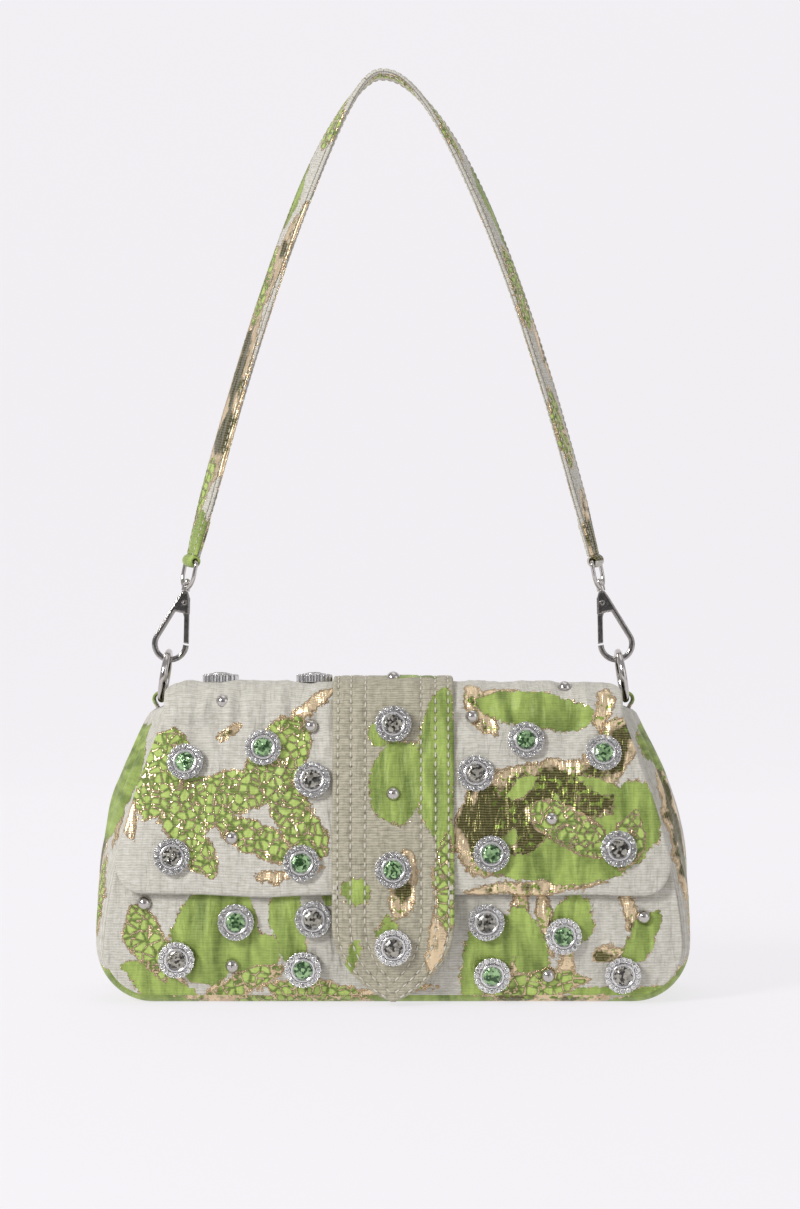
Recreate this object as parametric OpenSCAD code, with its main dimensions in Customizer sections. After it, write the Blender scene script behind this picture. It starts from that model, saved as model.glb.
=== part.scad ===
// Shoulder purse: a soft body, a flap with a closure band, and a strap on two swivel hooks.
// X runs to the viewer's right, the front faces -Y, Z is up, and the origin is the middle of the base.

/* [Body] */
// Width of the front panel between its side seams, at its widest
panel_w = 247; // [215:1:300]
// Width of the panels at the mouth
mouth_w = 192; // [176:1:210]
// Height of the panels' top edge over the base
panel_h = 128; // [110:1:160]
// Depth of the gusset at the base, seam to seam
base_d = 74; // [60:1:100]
// Depth of the gusset at the mouth, seam to seam
mouth_d = 38; // [36:1:46]
// Radius of the panels' lower corners
corner_r = 20.5; // [12:0.5:28]
// How far the gusset's flat middle lies below the bottom seams
base_drop = 3.5; // [2.5:0.5:6]
// How far the gusset's middle stands out from the side seams
side_swell = 11; // [6:0.5:14]
// How far the middle of the front and back panels stands out
panel_swell = 5; // [2:0.5:8]
// Thickness of the padded brocade of the body
cloth_t = 1.6; // [1.2:0.1:2.2]
// Thickness of the lining cloth
lining_t = 0.6; // [0.4:0.1:1]
// Thickness of the base board
board_t = 2; // [1:0.1:3]

/* [Flap and band] */
// Height of the flap's lower edge over the base
flap_z = 47; // [44:1:60]
// Height of the flap's top over the panels' top edge
flap_rise = 8.2; // [7.5:0.1:12]
// Radius of the fold along the flap's front ridge
ridge_r = 14; // [11:0.5:16]
// Radius of the turn where the flap leaves the back seam
rear_r = 6; // [5:0.5:6.5]
// Thickness of the padded flap
flap_t = 3; // [2:0.1:4]
// Half width of the flap's top between the rings
flap_neck = 88; // [82:1:90]
// Radius of the flap's lower corners, sideways
flap_corner = 11; // [5:0.5:16]
// Width of the closure band
band_w = 52; // [40:1:60]
// Thickness of the closure band
band_t = 3; // [2:0.1:4]
// Height of the tongue's tip over the base
tip_z = 2; // [1.5:0.5:6]

/* [Trimmings] */
// Radius of a rosette over its beads
rosette_r = 7.9; // [6:0.1:8.2]
// Height of a rosette's bead rim
rosette_h = 3.6; // [3:0.1:4.2]
// Number of beads round a rosette
bead_count = 16; // [12:1:24]
// Radius of a rosette's stone
stone_r = 3.7; // [3:0.1:4]
// Radius of a dome stud
dome_r = 3; // [2:0.1:3.5]
// Height of a dome stud
dome_h = 2.3; // [1.5:0.1:2.8]
// Radius of the magnetic snap
snap_r = 9; // [7:0.5:9.5]
// Thickness of the snap's socket
socket_t = 2.7; // [2.4:0.1:2.8]
// Thickness of the snap's stud plate
stud_t = 1; // [0.8:0.1:1.2]

/* [Rings and hooks] */
// Radius of a ring to the middle of its wire
ring_r = 10.5; // [10:0.1:11]
// Radius of a ring's wire
ring_wire = 1.5; // [1.2:0.1:1.6]
// Lean of the rings towards the middle, in degrees
ring_lean = 9; // [5:1:11]
// Width of the hook's bar, seen from the front
hook_bar = 2.5; // [2:0.1:2.6]
// Thickness of a hook, front to back
hook_t = 3.4; // [3.2:0.1:3.8]
// Outer radius of the hook's bow
bow_r = 8.1; // [7.8:0.1:8.6]
// Length of a hook from its bow to the top of its plate
hook_l = 32; // [30:0.5:36]
// Lean of the hooks towards the middle, in degrees
hook_lean = 11; // [8:1:13]
// Radius of the hook's rivet
rivet_r = 0.9; // [0.7:0.1:1]
// Radius of the swivel eye's wire
eye_wire = 0.9; // [0.8:0.05:1]
// Half width of the swivel eye, to the middle of its wire
eye_r = 6.2; // [6:0.1:7]

/* [Strap] */
// Height of the strap's top over the base
strap_top = 405; // [330:1:520]
// Width of the strap
strap_w = 16; // [12:0.5:20]
// Thickness of the strap, two folded layers
strap_t = 3; // [2.4:0.1:3.4]
// Turn of the left leg's broad side towards the front, in degrees
left_turn = 27; // [10:1:32]
// Turn of the right leg's broad side towards the front, in degrees
right_turn = 21; // [10:1:32]
// How far the strap's top lies to one side of the middle
strap_shift = -5; // [-8:1:8]

/* [Hidden] */
$fn = 48;

// Shared fits
seat = 0.15;        // gap between a piece and the cloth it is fixed to
ease = 0.3;         // gap between neighbouring cloth layers
running = 0.05;     // gap between a rivet or stem and its hole
over = 1;           // overrun of a cut

// Shape of the body
half_w = panel_w / 2;
mouth = mouth_w / 2;
side_z = base_drop + corner_r;
side_power = 1.6;
depth_power = 1.5;
swell_power = 2.5;
swell_rise_share = 0.3;
swell_fade_share = 0.5;
corner_steps = 5;
side_steps = 8;
panel_cols = 18;

// Shape of the gusset
gusset_dip = 8;
gusset_t_shares = [-1, -0.93, -0.82, -0.5, 0, 0.5, 0.82, 0.93, 1];
flat_share = 0.82;
round_power = 2.2;
swell_low_share = 0.08;
swell_high_share = 0.62;

// Shape of the lining
lining_gap = 1.2;
lining_turn = 2.4;
lining_cols = 32;
lining_round = 3;

// Shape of the flap
flap_gap = 0.8;
flap_edge = 0.5;
flap_corner_h = 14;
flap_cols = 18;
flap_rows = 8;
turn_rows = 4;
arc_rows = 3;
flap_top_z = panel_h + flap_rise;
ridge_z = flap_top_z - ridge_r;
stack = flap_gap + lining_t + seat + flap_t;
ridge_y = ridge_r - seam_d(ridge_z) - swell(ridge_z) - stack;
rear_y = mouth_d / 2 + swell(panel_h) - rear_r;
rear_z = panel_h + ease;
blend_h = 9;
neck_y = -2;
lining_inset = 2.5;

// Shape of the band and its tongue
band_half = band_w / 2;
band_cols = 8;
tongue_rows = 10;
point_z = 36;
point_power = 2.2;
point_round = 0.8;
tip_half = 1.2;
tongue_level = 14;
snap_z = 22;
nub_r = 3;
nub_l = 1.4;
nub_ease = 0.6;
washer_r = 8;
washer_t = 0.5;
washer_sink = 1.3;
plate_inset = 1.5;

// Places of the trimmings. The first share runs from close beside the band to the panel's half width. The
// second is a share of the height of the flap's edge for the panel's, and of the panel's height for the rest
panel_clear_shares = [[-0.0007, 0.776], [-0.6485, 0.414], [0.0627, 0.749], [0.7105, 0.272]];
panel_green_shares = [[-0.366, 0.749], [-0.0489, 0.332], [0.428, 0.626], [0.0903, 0.278]];
panel_stud_shares = [[-0.807, 0.912], [-0.3866, 0.349], [0.8139, 0.79], [0.3591, 0.259]];
flap_clear_shares = [[-0.0076, 0.742], [-0.6692, 0.49], [0.0145, 0.762], [0.6899, 0.515]];
flap_green_shares = [
    [-0.6141, 0.8], [-0.2419, 0.847], [-0.0558, 0.47], [0.2557, 0.873], [0.6251, 0.83], [0.0862, 0.5]
];
flap_stud_shares = [[-0.0172, 0.923], [-0.388, 0.555], [0.0007, 0.955], [0.3756, 0.617]];
top_rosette_shares = [-0.4624, -0.0062];
ridge_stud_share = -0.4404;
top_stud_share = 0.4487;
ridge_stud_turn = 152;
top_stud_turn = 117;
band_stud_turn = 104;
band_clear_share = 0.924;
band_green_share = 0.446;
band_stud_share = 0.696;
tongue_share = 0.203;
foot_share = 1.4;

// Shape of a rosette
bead_r = 1.25;
bead_ring_r = rosette_r - bead_r;
dish_r = 5.1;
dish_z = 2.2;
bezel_t = 0.8;
bezel_h = 4.1;
stone_low = 2.5;
girdle_h = 1.2;
crown_h = 1.2;
table_share = 0.55;
facet_count = 8;

// Places of the rings and hooks
ring_out = 4.4;
ring_up = 11;
ring_x = mouth + ring_out;
ring_z = panel_h + ring_up;
hook_gap = 0.5;
bow_x = 2;
ring_top = [ring_x - ring_r * sin(ring_lean), 0, ring_z + ring_r * cos(ring_lean)];
ring_foot = [ring_x + ring_r * sin(ring_lean), 0, ring_z - ring_r * cos(ring_lean)];
in_bow = [bow_x, hook_bar + hook_gap + ring_wire];
hook_at = ring_top - turned(in_bow, hook_lean);

// Shape of a hook, in its own frame: X outwards, Z up its length
plate_z = 22.5;
plate_half = 2.6;
plate_r = 1.3;
rivet_at = [-0.7, 27];
slot_t = 1.8;
slot_x = 2.1;
slot_z = 29.6;
knuckle_t = 1.6;
knuckle_r = 2;
gate_t = 3;
gate_tip = 9.7;
nose_z = 8.9;
gate_w = 2.3;
gate_gap = 0.35;
edge_bevel = 0.5;
stem_r = 0.9;
ball_r = 1.5;
collar_r = 1.9;
collar_h = 2.3;
collar_gap = 0.25;
collar_z = hook_l + collar_gap;
ball_z = collar_z + collar_h + collar_gap + ball_r;
eye_low = collar_z + collar_h / 2;
eye_bend = 2.2;
eye_leg = 4;
bar_z = eye_low + eye_r + eye_leg + eye_bend;
bar_at = hook_at + turned([0, bar_z], hook_lean);

// Shape of a ring tab
tab_w = 7;
tab_in = 2.6;
tab_t = 1.4;
tab_l = 14;
tab_slope = atan((seam_w(panel_h - tab_l) - mouth) / tab_l);
tab_side = 2;

// Shape of the strap
arch_power = 1.58;
arch_soft = 0.03;
shift_power = 3;
strap_steps = 24;
spread_power = 0.8;
turn_share = 0.45;
bevel = 0.6;
end_w = 9.5;
gather_share = 0.09;
lap_share = 0.06;
lap_t = 0.8;
loop_in = eye_wire + 0.4;
loop_out = loop_in + strap_t / 2;
strap_rise = strap_top - strap_t / 2 - bar_at[2];
end_share = 1 - 0.5 * (loop_in + loop_out) / (strap_rise * arch_power);

// Numbers of one kind between 0 and 1
function smooth(t) = let (k = max(0, min(1, t))) k * k * (3 - 2 * k);
function mix(a, b, k) = a + (b - a) * k;
function turned(p, a) = [p[0] * cos(a) - p[1] * sin(a), 0, p[0] * sin(a) + p[1] * cos(a)];
function flat(rows) = [for (row = rows) for (p = row) p];
function unit(v) = v / norm(v);

// Half width and half depth of the body at its seams, and how far its panels swell
function seam_w(z) =
    z < side_z
    ? half_w - corner_r + sqrt(max(0, pow(corner_r, 2) - pow(side_z - max(z, base_drop), 2)))
    : mouth + (half_w - mouth) * (1 - pow((z - side_z) / (panel_h - side_z), side_power));
function seam_d(z) =
    let (rise = max(0, (z - side_z) / (panel_h - side_z)))
    mouth_d / 2 + (base_d - mouth_d) / 2 * (1 - pow(rise, depth_power));
function swell(z) =
    let (rise = min(1, max(0, z - base_drop) / (swell_rise_share * panel_h)))
    panel_swell * (1 - pow(1 - rise, 2)) * (1 - swell_fade_share * z / panel_h);
function panel_depth(x, z) =
    seam_d(z) + swell(z) * (1 - pow(min(1, abs(x) / seam_w(z)), swell_power));

// Heights of the rows of points on a panel
panel_rows = concat(
    [for (i = [0 : corner_steps]) side_z - corner_r * cos(90 * i / corner_steps)],
    [for (i = [1 : side_steps]) mix(side_z, panel_h, i / side_steps)]
);

// Two grids of points, one over the other, closed at their edges
module sheet(outer, inner) {
    c = len(outer[0]);
    r = len(outer);
    b = r * c;
    faces = [
        for (i = [0 : r - 2]) for (j = [0 : c - 2]) let (a = i * c + j) each [
            [a, a + c, a + c + 1], [a, a + c + 1, a + 1],
            [a + b, a + b + c + 1, a + b + c], [a + b, a + b + 1, a + b + c + 1]
        ],
        for (j = [0 : c - 2]) let (t = (r - 1) * c + j) each [
            [j, j + 1, b + j + 1], [j, b + j + 1, b + j],
            [t + 1, t, t + b], [t + 1, t + b, t + b + 1]
        ],
        for (i = [0 : r - 2]) let (a = i * c, e = a + c - 1) each [
            [a + c, a, a + b], [a + c, a + b, a + b + c],
            [e, e + c, e + b + c], [e, e + b + c, e + b]
        ]
    ];
    polyhedron(points = concat(flat(outer), flat(inner)), faces = faces);
}

// A cup from rings of points: an outer wall, an inner wall, two floors and a rim
module cup(outer, inner) {
    n = len(outer[0]);
    r = len(outer);
    b = r * n;
    top = (r - 1) * n;
    faces = [
        for (i = [0 : r - 2]) for (j = [0 : n - 1])
            let (a = i * n + j, e = i * n + (j + 1) % n) each [
                [a, a + n, e + n], [a, e + n, e],
                [a + b, e + b + n, a + b + n], [a + b, e + b, e + b + n]
            ],
        for (j = [1 : n - 2]) each [[0, j, j + 1], [b, b + j + 1, b + j]],
        for (j = [0 : n - 1])
            let (a = top + j, e = top + (j + 1) % n) each [[e, a, a + b], [e, a + b, e + b]]
    ];
    polyhedron(points = concat(flat(outer), flat(inner)), faces = faces);
}

// A rod through rings of points, closed at both ends
module rod(rings) {
    n = len(rings[0]);
    last = (len(rings) - 1) * n;
    faces = [
        for (i = [0 : len(rings) - 2]) for (j = [0 : n - 1])
            let (a = i * n + j, e = i * n + (j + 1) % n) each [[a, a + n, e + n], [a, e + n, e]],
        for (j = [1 : n - 2]) each [[0, j, j + 1], [last, last + j + 1, last + j]]
    ];
    polyhedron(points = flat(rings), faces = faces);
}

function across(cols, half) = [for (j = [0 : cols]) (2 * j / cols - 1) * half];

// One panel seen from its own front; side is 1 for the front panel and -1 for the back
module panel(side) {
    function skin(inset) = [
        for (z = panel_rows) [for (x = across(panel_cols, seam_w(z)))
            [side * x, side * (inset - panel_depth(x, z)), z]]
    ];
    sheet(skin(0), skin(cloth_t));
}

module front_panel() { color("#c3c2a6") panel(1); }

module back_panel() { color("#b9b99c") panel(-1); }

// The seam's path from the left mouth down, along the base and up to the right mouth
function seam_path() = concat(
    [for (i = [len(panel_rows) - 1 : -1 : 0]) [-seam_w(panel_rows[i]), panel_rows[i]]],
    [[0, base_drop]],
    [for (z = panel_rows) [seam_w(z), z]]
);

module gusset() {
    path = seam_path();
    last = len(path) - 1;
    function out_dir(i) =
        let (d = path[min(i + 1, last)] - path[max(i - 1, 0)]) unit([d[1], -d[0]]);
    function side_rise(z) = smooth((z / panel_h - swell_low_share) / (swell_high_share - swell_low_share));
    function bow(t, k) =
        mix(1 - pow(max(0, (abs(t) - flat_share) / (1 - flat_share)), 2), 1 - pow(abs(t), round_power), k);
    function skin(inset) = [
        for (t = gusset_t_shares) [for (i = [0 : last])
            let (
                p = path[i],
                n = p[1] <= base_drop ? [0, -1] : out_dir(i),
                k = side_rise(p[1]),
                high = smooth((p[1] / panel_h - swell_high_share) / (1 - swell_high_share)),
                q = p + n * (mix(base_drop, side_swell, k) * bow(t, k) - inset)
            )
            [q[0], t * (seam_d(p[1]) - cloth_t - seat), q[1] - high * gusset_dip * (1 - t * t)]]
    ];
    color("#86c13a") sheet(skin(0), skin(cloth_t));
}

module lining() {
    low = cloth_t + board_t + 3 * ease;
    function ring_at(z, inset) =
        let (a = seam_w(z) - cloth_t - lining_gap - inset, b = seam_d(z) - cloth_t - ease - inset)
        [for (j = [0 : lining_cols - 1]) let (w = 360 * j / lining_cols, c = cos(w), s = sin(w))
            [a * sign(c) * pow(abs(c), 2 / lining_round), b * sign(s) * pow(abs(s), 2 / lining_round)]];
    function wall(inset) = [
        for (i = [0 : len(panel_rows) - 1])
            let (z = max(low + inset + i * ease, panel_rows[i] - ease), turn = max(0, low + lining_turn - z))
            [for (p = ring_at(z, inset + turn)) [p[0], p[1], z]]
    ];
    color("#8d8873") cup(wall(0), wall(lining_t));
}

module base_board() {
    round_r = corner_r / 4;
    board_w = half_w - corner_r - cloth_t - round_r;
    board_d = flat_share * (base_d / 2 - cloth_t) - cloth_t;
    color("#5a5650") translate([0, 0, cloth_t + seat])
        linear_extrude(board_t) union() {
            square([2 * board_w, 2 * (board_d - round_r)], center = true);
            square([2 * (board_w - round_r), 2 * board_d], center = true);
            for (x = [-1, 1], y = [-1, 1])
                translate([x * (board_w - round_r), y * (board_d - round_r)]) circle(round_r);
        }
}

// Outer half depth of the flap's front, its half width, and the same for its top
function flap_depth(x, z) =
    mix(panel_depth(x, z) + stack, ridge_r - ridge_y, smooth((z - ridge_z + blend_h) / blend_h));
function flap_half(z) =
    let (turn_z = flap_z + flap_corner_h)
    z < turn_z
    ? seam_w(turn_z) + flap_edge - flap_corner * (1 - sqrt(1 - pow((turn_z - z) / flap_corner_h, 2)))
    : seam_w(min(z, ridge_z)) + flap_edge;
function top_half(y) =
    mix(flap_neck, flap_half(ridge_z), smooth((neck_y - y) / (neck_y - ridge_y + ridge_r * sin(45))));

// Rows of the flap: a point [y, z] at the middle, and the direction out of the cloth
front_rows = concat(
    [for (i = [0 : turn_rows]) flap_z + flap_corner_h * (1 - cos(90 * i / turn_rows))],
    [for (i = [1 : flap_rows]) mix(flap_z + flap_corner_h, ridge_z, i / flap_rows)]
);
function ridge_row(a) = [[ridge_y + ridge_r * cos(a), ridge_z + ridge_r * sin(a)], [cos(a), sin(a)]];
function rear_row(a) = [[rear_y + rear_r * cos(a), rear_z + rear_r * sin(a)], [cos(a), sin(a)]];
front_arc = [for (i = [1 : arc_rows]) ridge_row(180 - 45 * i / arc_rows)];
top_arc = concat(
    [for (i = [0 : arc_rows]) ridge_row(135 - 45 * i / arc_rows)],
    [for (k = [1 / 3, 2 / 3])
        [mix([ridge_y, ridge_z + ridge_r], [rear_y, rear_z + rear_r], k), [0, 1]]],
    [for (i = [0 : arc_rows]) rear_row(90 - 90 * i / arc_rows)]
);

// A layer that follows the flap, out from its outer face by the given height
function front_layer(cols, up, inset) = concat(
    [for (z = front_rows) [for (x = across(cols, flap_half(z) - inset)) [x, -flap_depth(x, z) - up, z]]],
    [for (row = front_arc) [for (x = across(cols, flap_half(ridge_z) - inset))
        [x, row[0][0] + up * row[1][0], row[0][1] + up * row[1][1]]]]
);
function top_layer(cols, up, inset) = [
    for (row = top_arc) [for (x = across(cols, top_half(row[0][0]) - inset))
        [x, row[0][0] + up * row[1][0], row[0][1] + up * row[1][1]]]
];

module flap_front() {
    color("#bdbca0") sheet(front_layer(flap_cols, 0, 0), front_layer(flap_cols, -flap_t, 0));
}

module flap_top() {
    color("#bdbca0") sheet(top_layer(flap_cols, 0, 0), top_layer(flap_cols, -flap_t, 0));
}

module flap_front_lining() {
    up = -flap_t - ease;
    function cut(rows) = [for (i = [2 : len(rows) - 1]) rows[i]];
    color("#8d8873") sheet(
        cut(front_layer(band_cols, up, lining_inset)),
        cut(front_layer(band_cols, up - lining_t, lining_inset))
    );
}

module flap_top_lining() {
    up = -flap_t - seat;
    color("#8d8873") sheet(
        top_layer(band_cols, up, lining_inset), top_layer(band_cols, up - lining_t, lining_inset)
    );
}

// The band lies on the flap, and its tongue hangs on below the flap's edge
function band_front_skin(up) = concat(
    [for (z = front_rows) [for (x = across(band_cols, band_half)) [x, -flap_depth(x, z) - up, z]]],
    [for (row = front_arc) [for (x = across(band_cols, band_half))
        [x, row[0][0] + up * row[1][0], row[0][1] + up * row[1][1]]]]
);
function band_top_skin(up) = [
    for (row = top_arc) [for (x = across(band_cols, band_half))
        [x, row[0][0] + up * row[1][0], row[0][1] + up * row[1][1]]]
];

module band_front() { color("#c9bd9f") sheet(band_front_skin(seat + band_t), band_front_skin(seat)); }

module band_top() { color("#c9bd9f") sheet(band_top_skin(seat + band_t), band_top_skin(seat)); }

function tongue_half(z) =
    let (t = (point_z - z) / (point_z - tip_z))
    max(tip_half, t <= 0 ? band_half : band_half * pow(max(0, 1 - pow(t, point_power)), point_round));
function tongue_depth(x, z) = flap_depth(x, max(z, tongue_level));

module tongue() {
    top = flap_z - ease;
    heights = [for (i = [0 : tongue_rows]) mix(tip_z, top, 1 - cos(90 * i / tongue_rows))];
    function skin(up) = [
        for (z = heights) [for (x = across(band_cols, tongue_half(z))) [x, -tongue_depth(x, z) - up, z]]
    ];
    color("#c9bd9f") sheet(skin(seat + band_t), skin(seat));
}

// Stand a piece with a foot of the given radius on the surface whose half depth is given, its own Z
// pointing out of the surface; where the surface is hollow, the foot bridges it
module stand(at, depth, up, r) {
    x = at[0];
    z = at[1];
    foot = r * foot_share;
    sides = [depth(x - foot, z), depth(x + foot, z)];
    ends = [depth(x, z - foot), depth(x, z + foot)];
    far = max(depth(x, z), (sides[0] + sides[1]) / 2, (ends[0] + ends[1]) / 2);
    n = unit([(sides[0] - sides[1]) / (2 * foot), -1, (ends[0] - ends[1]) / (2 * foot)]);
    translate([x, -far, z] + n * up) rotate([0, acos(n[2]), atan2(n[1], n[0])]) children();
}

function beside(share) = sign(share) * mix(band_half + rosette_r, half_w, abs(share));
function place(shares) = [beside(shares[0]), shares[1] * panel_h];
function low_place(shares) = [beside(shares[0]), shares[1] * flap_z];
on_panel = function (x, z) panel_depth(x, z);
on_flap = function (x, z) flap_depth(x, z);
on_tongue = function (x, z) tongue_depth(x, z);
band_up = 2 * seat + band_t;

// A metal setting: a scalloped bead rim, a dished floor and a smooth bezel round the stone
module setting() {
    difference() {
        linear_extrude(rosette_h) union() {
            circle(bead_ring_r);
            for (i = [1 : bead_count])
                rotate(360 * i / bead_count) translate([bead_ring_r, 0]) circle(bead_r);
        }
        translate([0, 0, dish_z]) cylinder(r = dish_r, h = rosette_h);
    }
    translate([0, 0, dish_z]) difference() {
        cylinder(r = stone_r + bezel_t, h = bezel_h - dish_z);
        translate([0, 0, stone_low - dish_z]) cylinder(r = stone_r, h = bezel_h);
    }
}

module stone() {
    translate([0, 0, stone_low]) {
        cylinder(r = stone_r - running, h = girdle_h, $fn = facet_count);
        translate([0, 0, girdle_h])
            cylinder(r1 = stone_r - running, r2 = stone_r * table_share, h = crown_h, $fn = facet_count);
    }
}

module dome() {
    ball = (pow(dome_r, 2) + pow(dome_h, 2)) / (2 * dome_h);
    intersection() {
        translate([0, 0, dome_h - ball]) sphere(ball);
        cylinder(r = dome_r, h = dome_h);
    }
}

module panel_settings() {
    color("#d9dbdd") for (s = concat(panel_clear_shares, panel_green_shares))
        stand(low_place(s), on_panel, seat, rosette_r) setting();
}
module panel_clear_stones() {
    color("#6f6d66") for (s = panel_clear_shares) stand(low_place(s), on_panel, seat, rosette_r) stone();
}
module panel_green_stones() {
    color("#7fb46a") for (s = panel_green_shares) stand(low_place(s), on_panel, seat, rosette_r) stone();
}
module panel_studs() {
    color("#cfd1d3") for (s = panel_stud_shares) stand(low_place(s), on_panel, seat, dome_r) dome();
}
module flap_settings() {
    color("#d9dbdd") for (s = concat(flap_clear_shares, flap_green_shares))
        stand(place(s), on_flap, seat, rosette_r) setting();
}
module flap_clear_stones() {
    color("#6f6d66") for (s = flap_clear_shares) stand(place(s), on_flap, seat, rosette_r) stone();
}
module flap_green_stones() {
    color("#7fb46a") for (s = flap_green_shares) stand(place(s), on_flap, seat, rosette_r) stone();
}
module flap_studs() {
    color("#cfd1d3") {
        for (s = flap_stud_shares) stand(place(s), on_flap, ease, dome_r) dome();
        on_ridge(beside(ridge_stud_share), ridge_stud_turn, seat) dome();
    }
}
module band_settings() {
    color("#d9dbdd") for (s = [band_clear_share, band_green_share])
        stand(place([0, s]), on_flap, band_up, rosette_r) setting();
}
module band_clear_stone() {
    color("#6f6d66") stand(place([0, band_clear_share]), on_flap, band_up, rosette_r) stone();
}
module band_green_stone() {
    color("#7fb46a") stand(place([0, band_green_share]), on_flap, band_up, rosette_r) stone();
}
module band_stud() {
    color("#cfd1d3") stand(place([0, band_stud_share]), on_flap, band_up, dome_r) dome();
}
module tongue_setting() {
    color("#d9dbdd") stand(place([0, tongue_share]), on_tongue, band_up, rosette_r) setting();
}
module tongue_stone() {
    color("#6f6d66") stand(place([0, tongue_share]), on_tongue, band_up, rosette_r) stone();
}

// The trimmings on the flap's top stand upright
top_y = ridge_y + rosette_r / 2;
module on_ridge(x, a, up) {
    translate([x, ridge_y + (ridge_r + up) * cos(a), ridge_z + (ridge_r + up) * sin(a)])
        rotate([a - 90, 0, 0]) children();
}
module on_top(x, y, up) {
    k = (y - ridge_y) / (rear_y - ridge_y);
    rise = mix(ridge_z + ridge_r, rear_z + rear_r, k);
    slope = atan((rear_z + rear_r - ridge_z - ridge_r) / (rear_y - ridge_y));
    translate([x, y, rise]) rotate([slope, 0, 0]) translate([0, 0, up]) children();
}
module top_settings() {
    color("#d9dbdd") for (s = top_rosette_shares) on_top(beside(s), top_y, seat) setting();
}
module top_stones() {
    color("#6f6d66") for (s = top_rosette_shares) on_top(beside(s), top_y, seat) stone();
}
module top_studs() {
    color("#cfd1d3") {
        on_ridge(beside(top_stud_share), top_stud_turn, seat) dome();
        on_ridge(0, band_stud_turn, band_up) dome();
    }
}

// The magnetic snap: a socket on the front panel, its washer behind it, and a stud on the tongue
module snap_socket() {
    color("#b9bcc0") stand([0, snap_z], on_panel, seat, snap_r) difference() {
        cylinder(r = snap_r, h = socket_t);
        translate([0, 0, socket_t - nub_l - nub_ease]) cylinder(r = nub_r + nub_ease, h = socket_t);
    }
}
module snap_washer() {
    color("#b9bcc0") stand([0, snap_z], on_panel, -cloth_t - washer_sink, snap_r)
        cylinder(r = washer_r, h = washer_t);
}
module snap_stud() {
    color("#b9bcc0") stand([0, snap_z], on_panel, seat + socket_t + ease, snap_r) {
        cylinder(r = snap_r - plate_inset, h = stud_t);
        translate([0, 0, -nub_l]) cylinder(r = nub_r, h = nub_l);
    }
}

// Rings, tabs, hooks, gates and eyes are drawn on the right side and mirrored to the left
module to_left() { mirror([1, 0, 0]) children(); }

module ring() {
    color("#c9ccd0") translate([ring_x, 0, ring_z]) rotate([0, -ring_lean, 0]) rotate([0, 90, 0])
        rotate_extrude() translate([ring_r, 0]) circle(ring_wire);
}

module ring_tab() {
    color("#86c13a") translate(ring_foot) difference() {
        union() {
            rotate([90, 0, 0]) cylinder(r = tab_in + tab_t, h = tab_w, center = true);
            translate([-tab_side, 0, 0]) rotate([0, -tab_slope, 0])
                translate([-tab_t, -tab_w / 2, -tab_in - tab_l]) cube([2 * tab_t, tab_w, tab_l]);
        }
        rotate([90, 0, 0]) cylinder(r = tab_in, h = tab_w + over, center = true);
    }
}

module at_hook() { translate(hook_at) rotate([0, -hook_lean, 0]) children(); }

// Where a line from a point touches a circle round the bow, on the outer side (1) or the gate's side (-1)
function touch(p, r, side) =
    let (d = [bow_x, bow_r] - p, a = atan2(d[1], d[0]) + side * acos(r / norm(d)))
    [bow_x, bow_r] - r * [cos(a), sin(a)];

// Where the hook's outline runs at a height, on the outer side (1) or the gate's side (-1)
hook_shoulder = hook_l - 2 * plate_r;
function outline_x(side, z) =
    let (p = [side * plate_half, hook_shoulder], q = touch(p, bow_r, -side))
    mix(p[0], q[0], (z - p[1]) / (q[1] - p[1]));

// The hook's outline, drawn in X and Z, smaller all round by the inset
module hook_outline(inset) {
    inner = [-plate_half + inset, hook_shoulder];
    outer = [plate_half - inset, hook_shoulder];
    r = bow_r - inset;
    polygon([inner, outer, touch(outer, r, -1), [bow_x, bow_r], touch(inner, r, 1)]);
    polygon([inner, outer, [plate_half - plate_r, hook_l - inset], [plate_r - plate_half, hook_l - inset]]);
    translate([bow_x, bow_r]) circle(r);
}

module hook_window(inset) {
    foot = bow_r - hook_bar + inset;
    slope = norm([1, (outline_x(1, plate_z) - outline_x(1, plate_z - over)) / over]);
    inner = [outline_x(-1, plate_z) + (hook_bar - inset) * slope, plate_z + inset];
    outer = [outline_x(1, plate_z) - (hook_bar - inset) * slope, plate_z + inset];
    polygon([inner, outer, touch(outer, foot, -1), [bow_x, bow_r], touch(inner, foot, 1)]);
    translate([bow_x, bow_r]) circle(foot);
}

module hook() {
    upright = [90, 0, 0];
    color("#aeb2b8") at_hook() {
        difference() {
            union() {
                rotate(upright) linear_extrude(hook_t - 2 * edge_bevel, center = true)
                    difference() { hook_outline(0); hook_window(0); }
                rotate(upright) linear_extrude(hook_t, center = true)
                    difference() { hook_outline(edge_bevel); hook_window(edge_bevel); }
            }
            translate([-bow_r, -hook_t, nose_z]) cube([bow_r, 2 * hook_t, plate_z - nose_z]);
            translate([-bow_r, -slot_t / 2, plate_z - over])
                cube([bow_r + slot_x, slot_t, slot_z - plate_z + over]);
            translate([rivet_at[0], 0, rivet_at[1]]) rotate(upright)
                cylinder(r = rivet_r, h = hook_t + over, center = true);
        }
        translate([0, 0, hook_l - over]) cylinder(r = stem_r, h = ball_z - hook_l + over);
        translate([0, 0, ball_z]) sphere(ball_r);
    }
}

module hook_rivet() {
    color("#8f9398") at_hook() translate([rivet_at[0], 0, rivet_at[1]]) rotate([90, 0, 0])
        cylinder(r = rivet_r, h = hook_t + edge_bevel, center = true);
}

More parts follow.
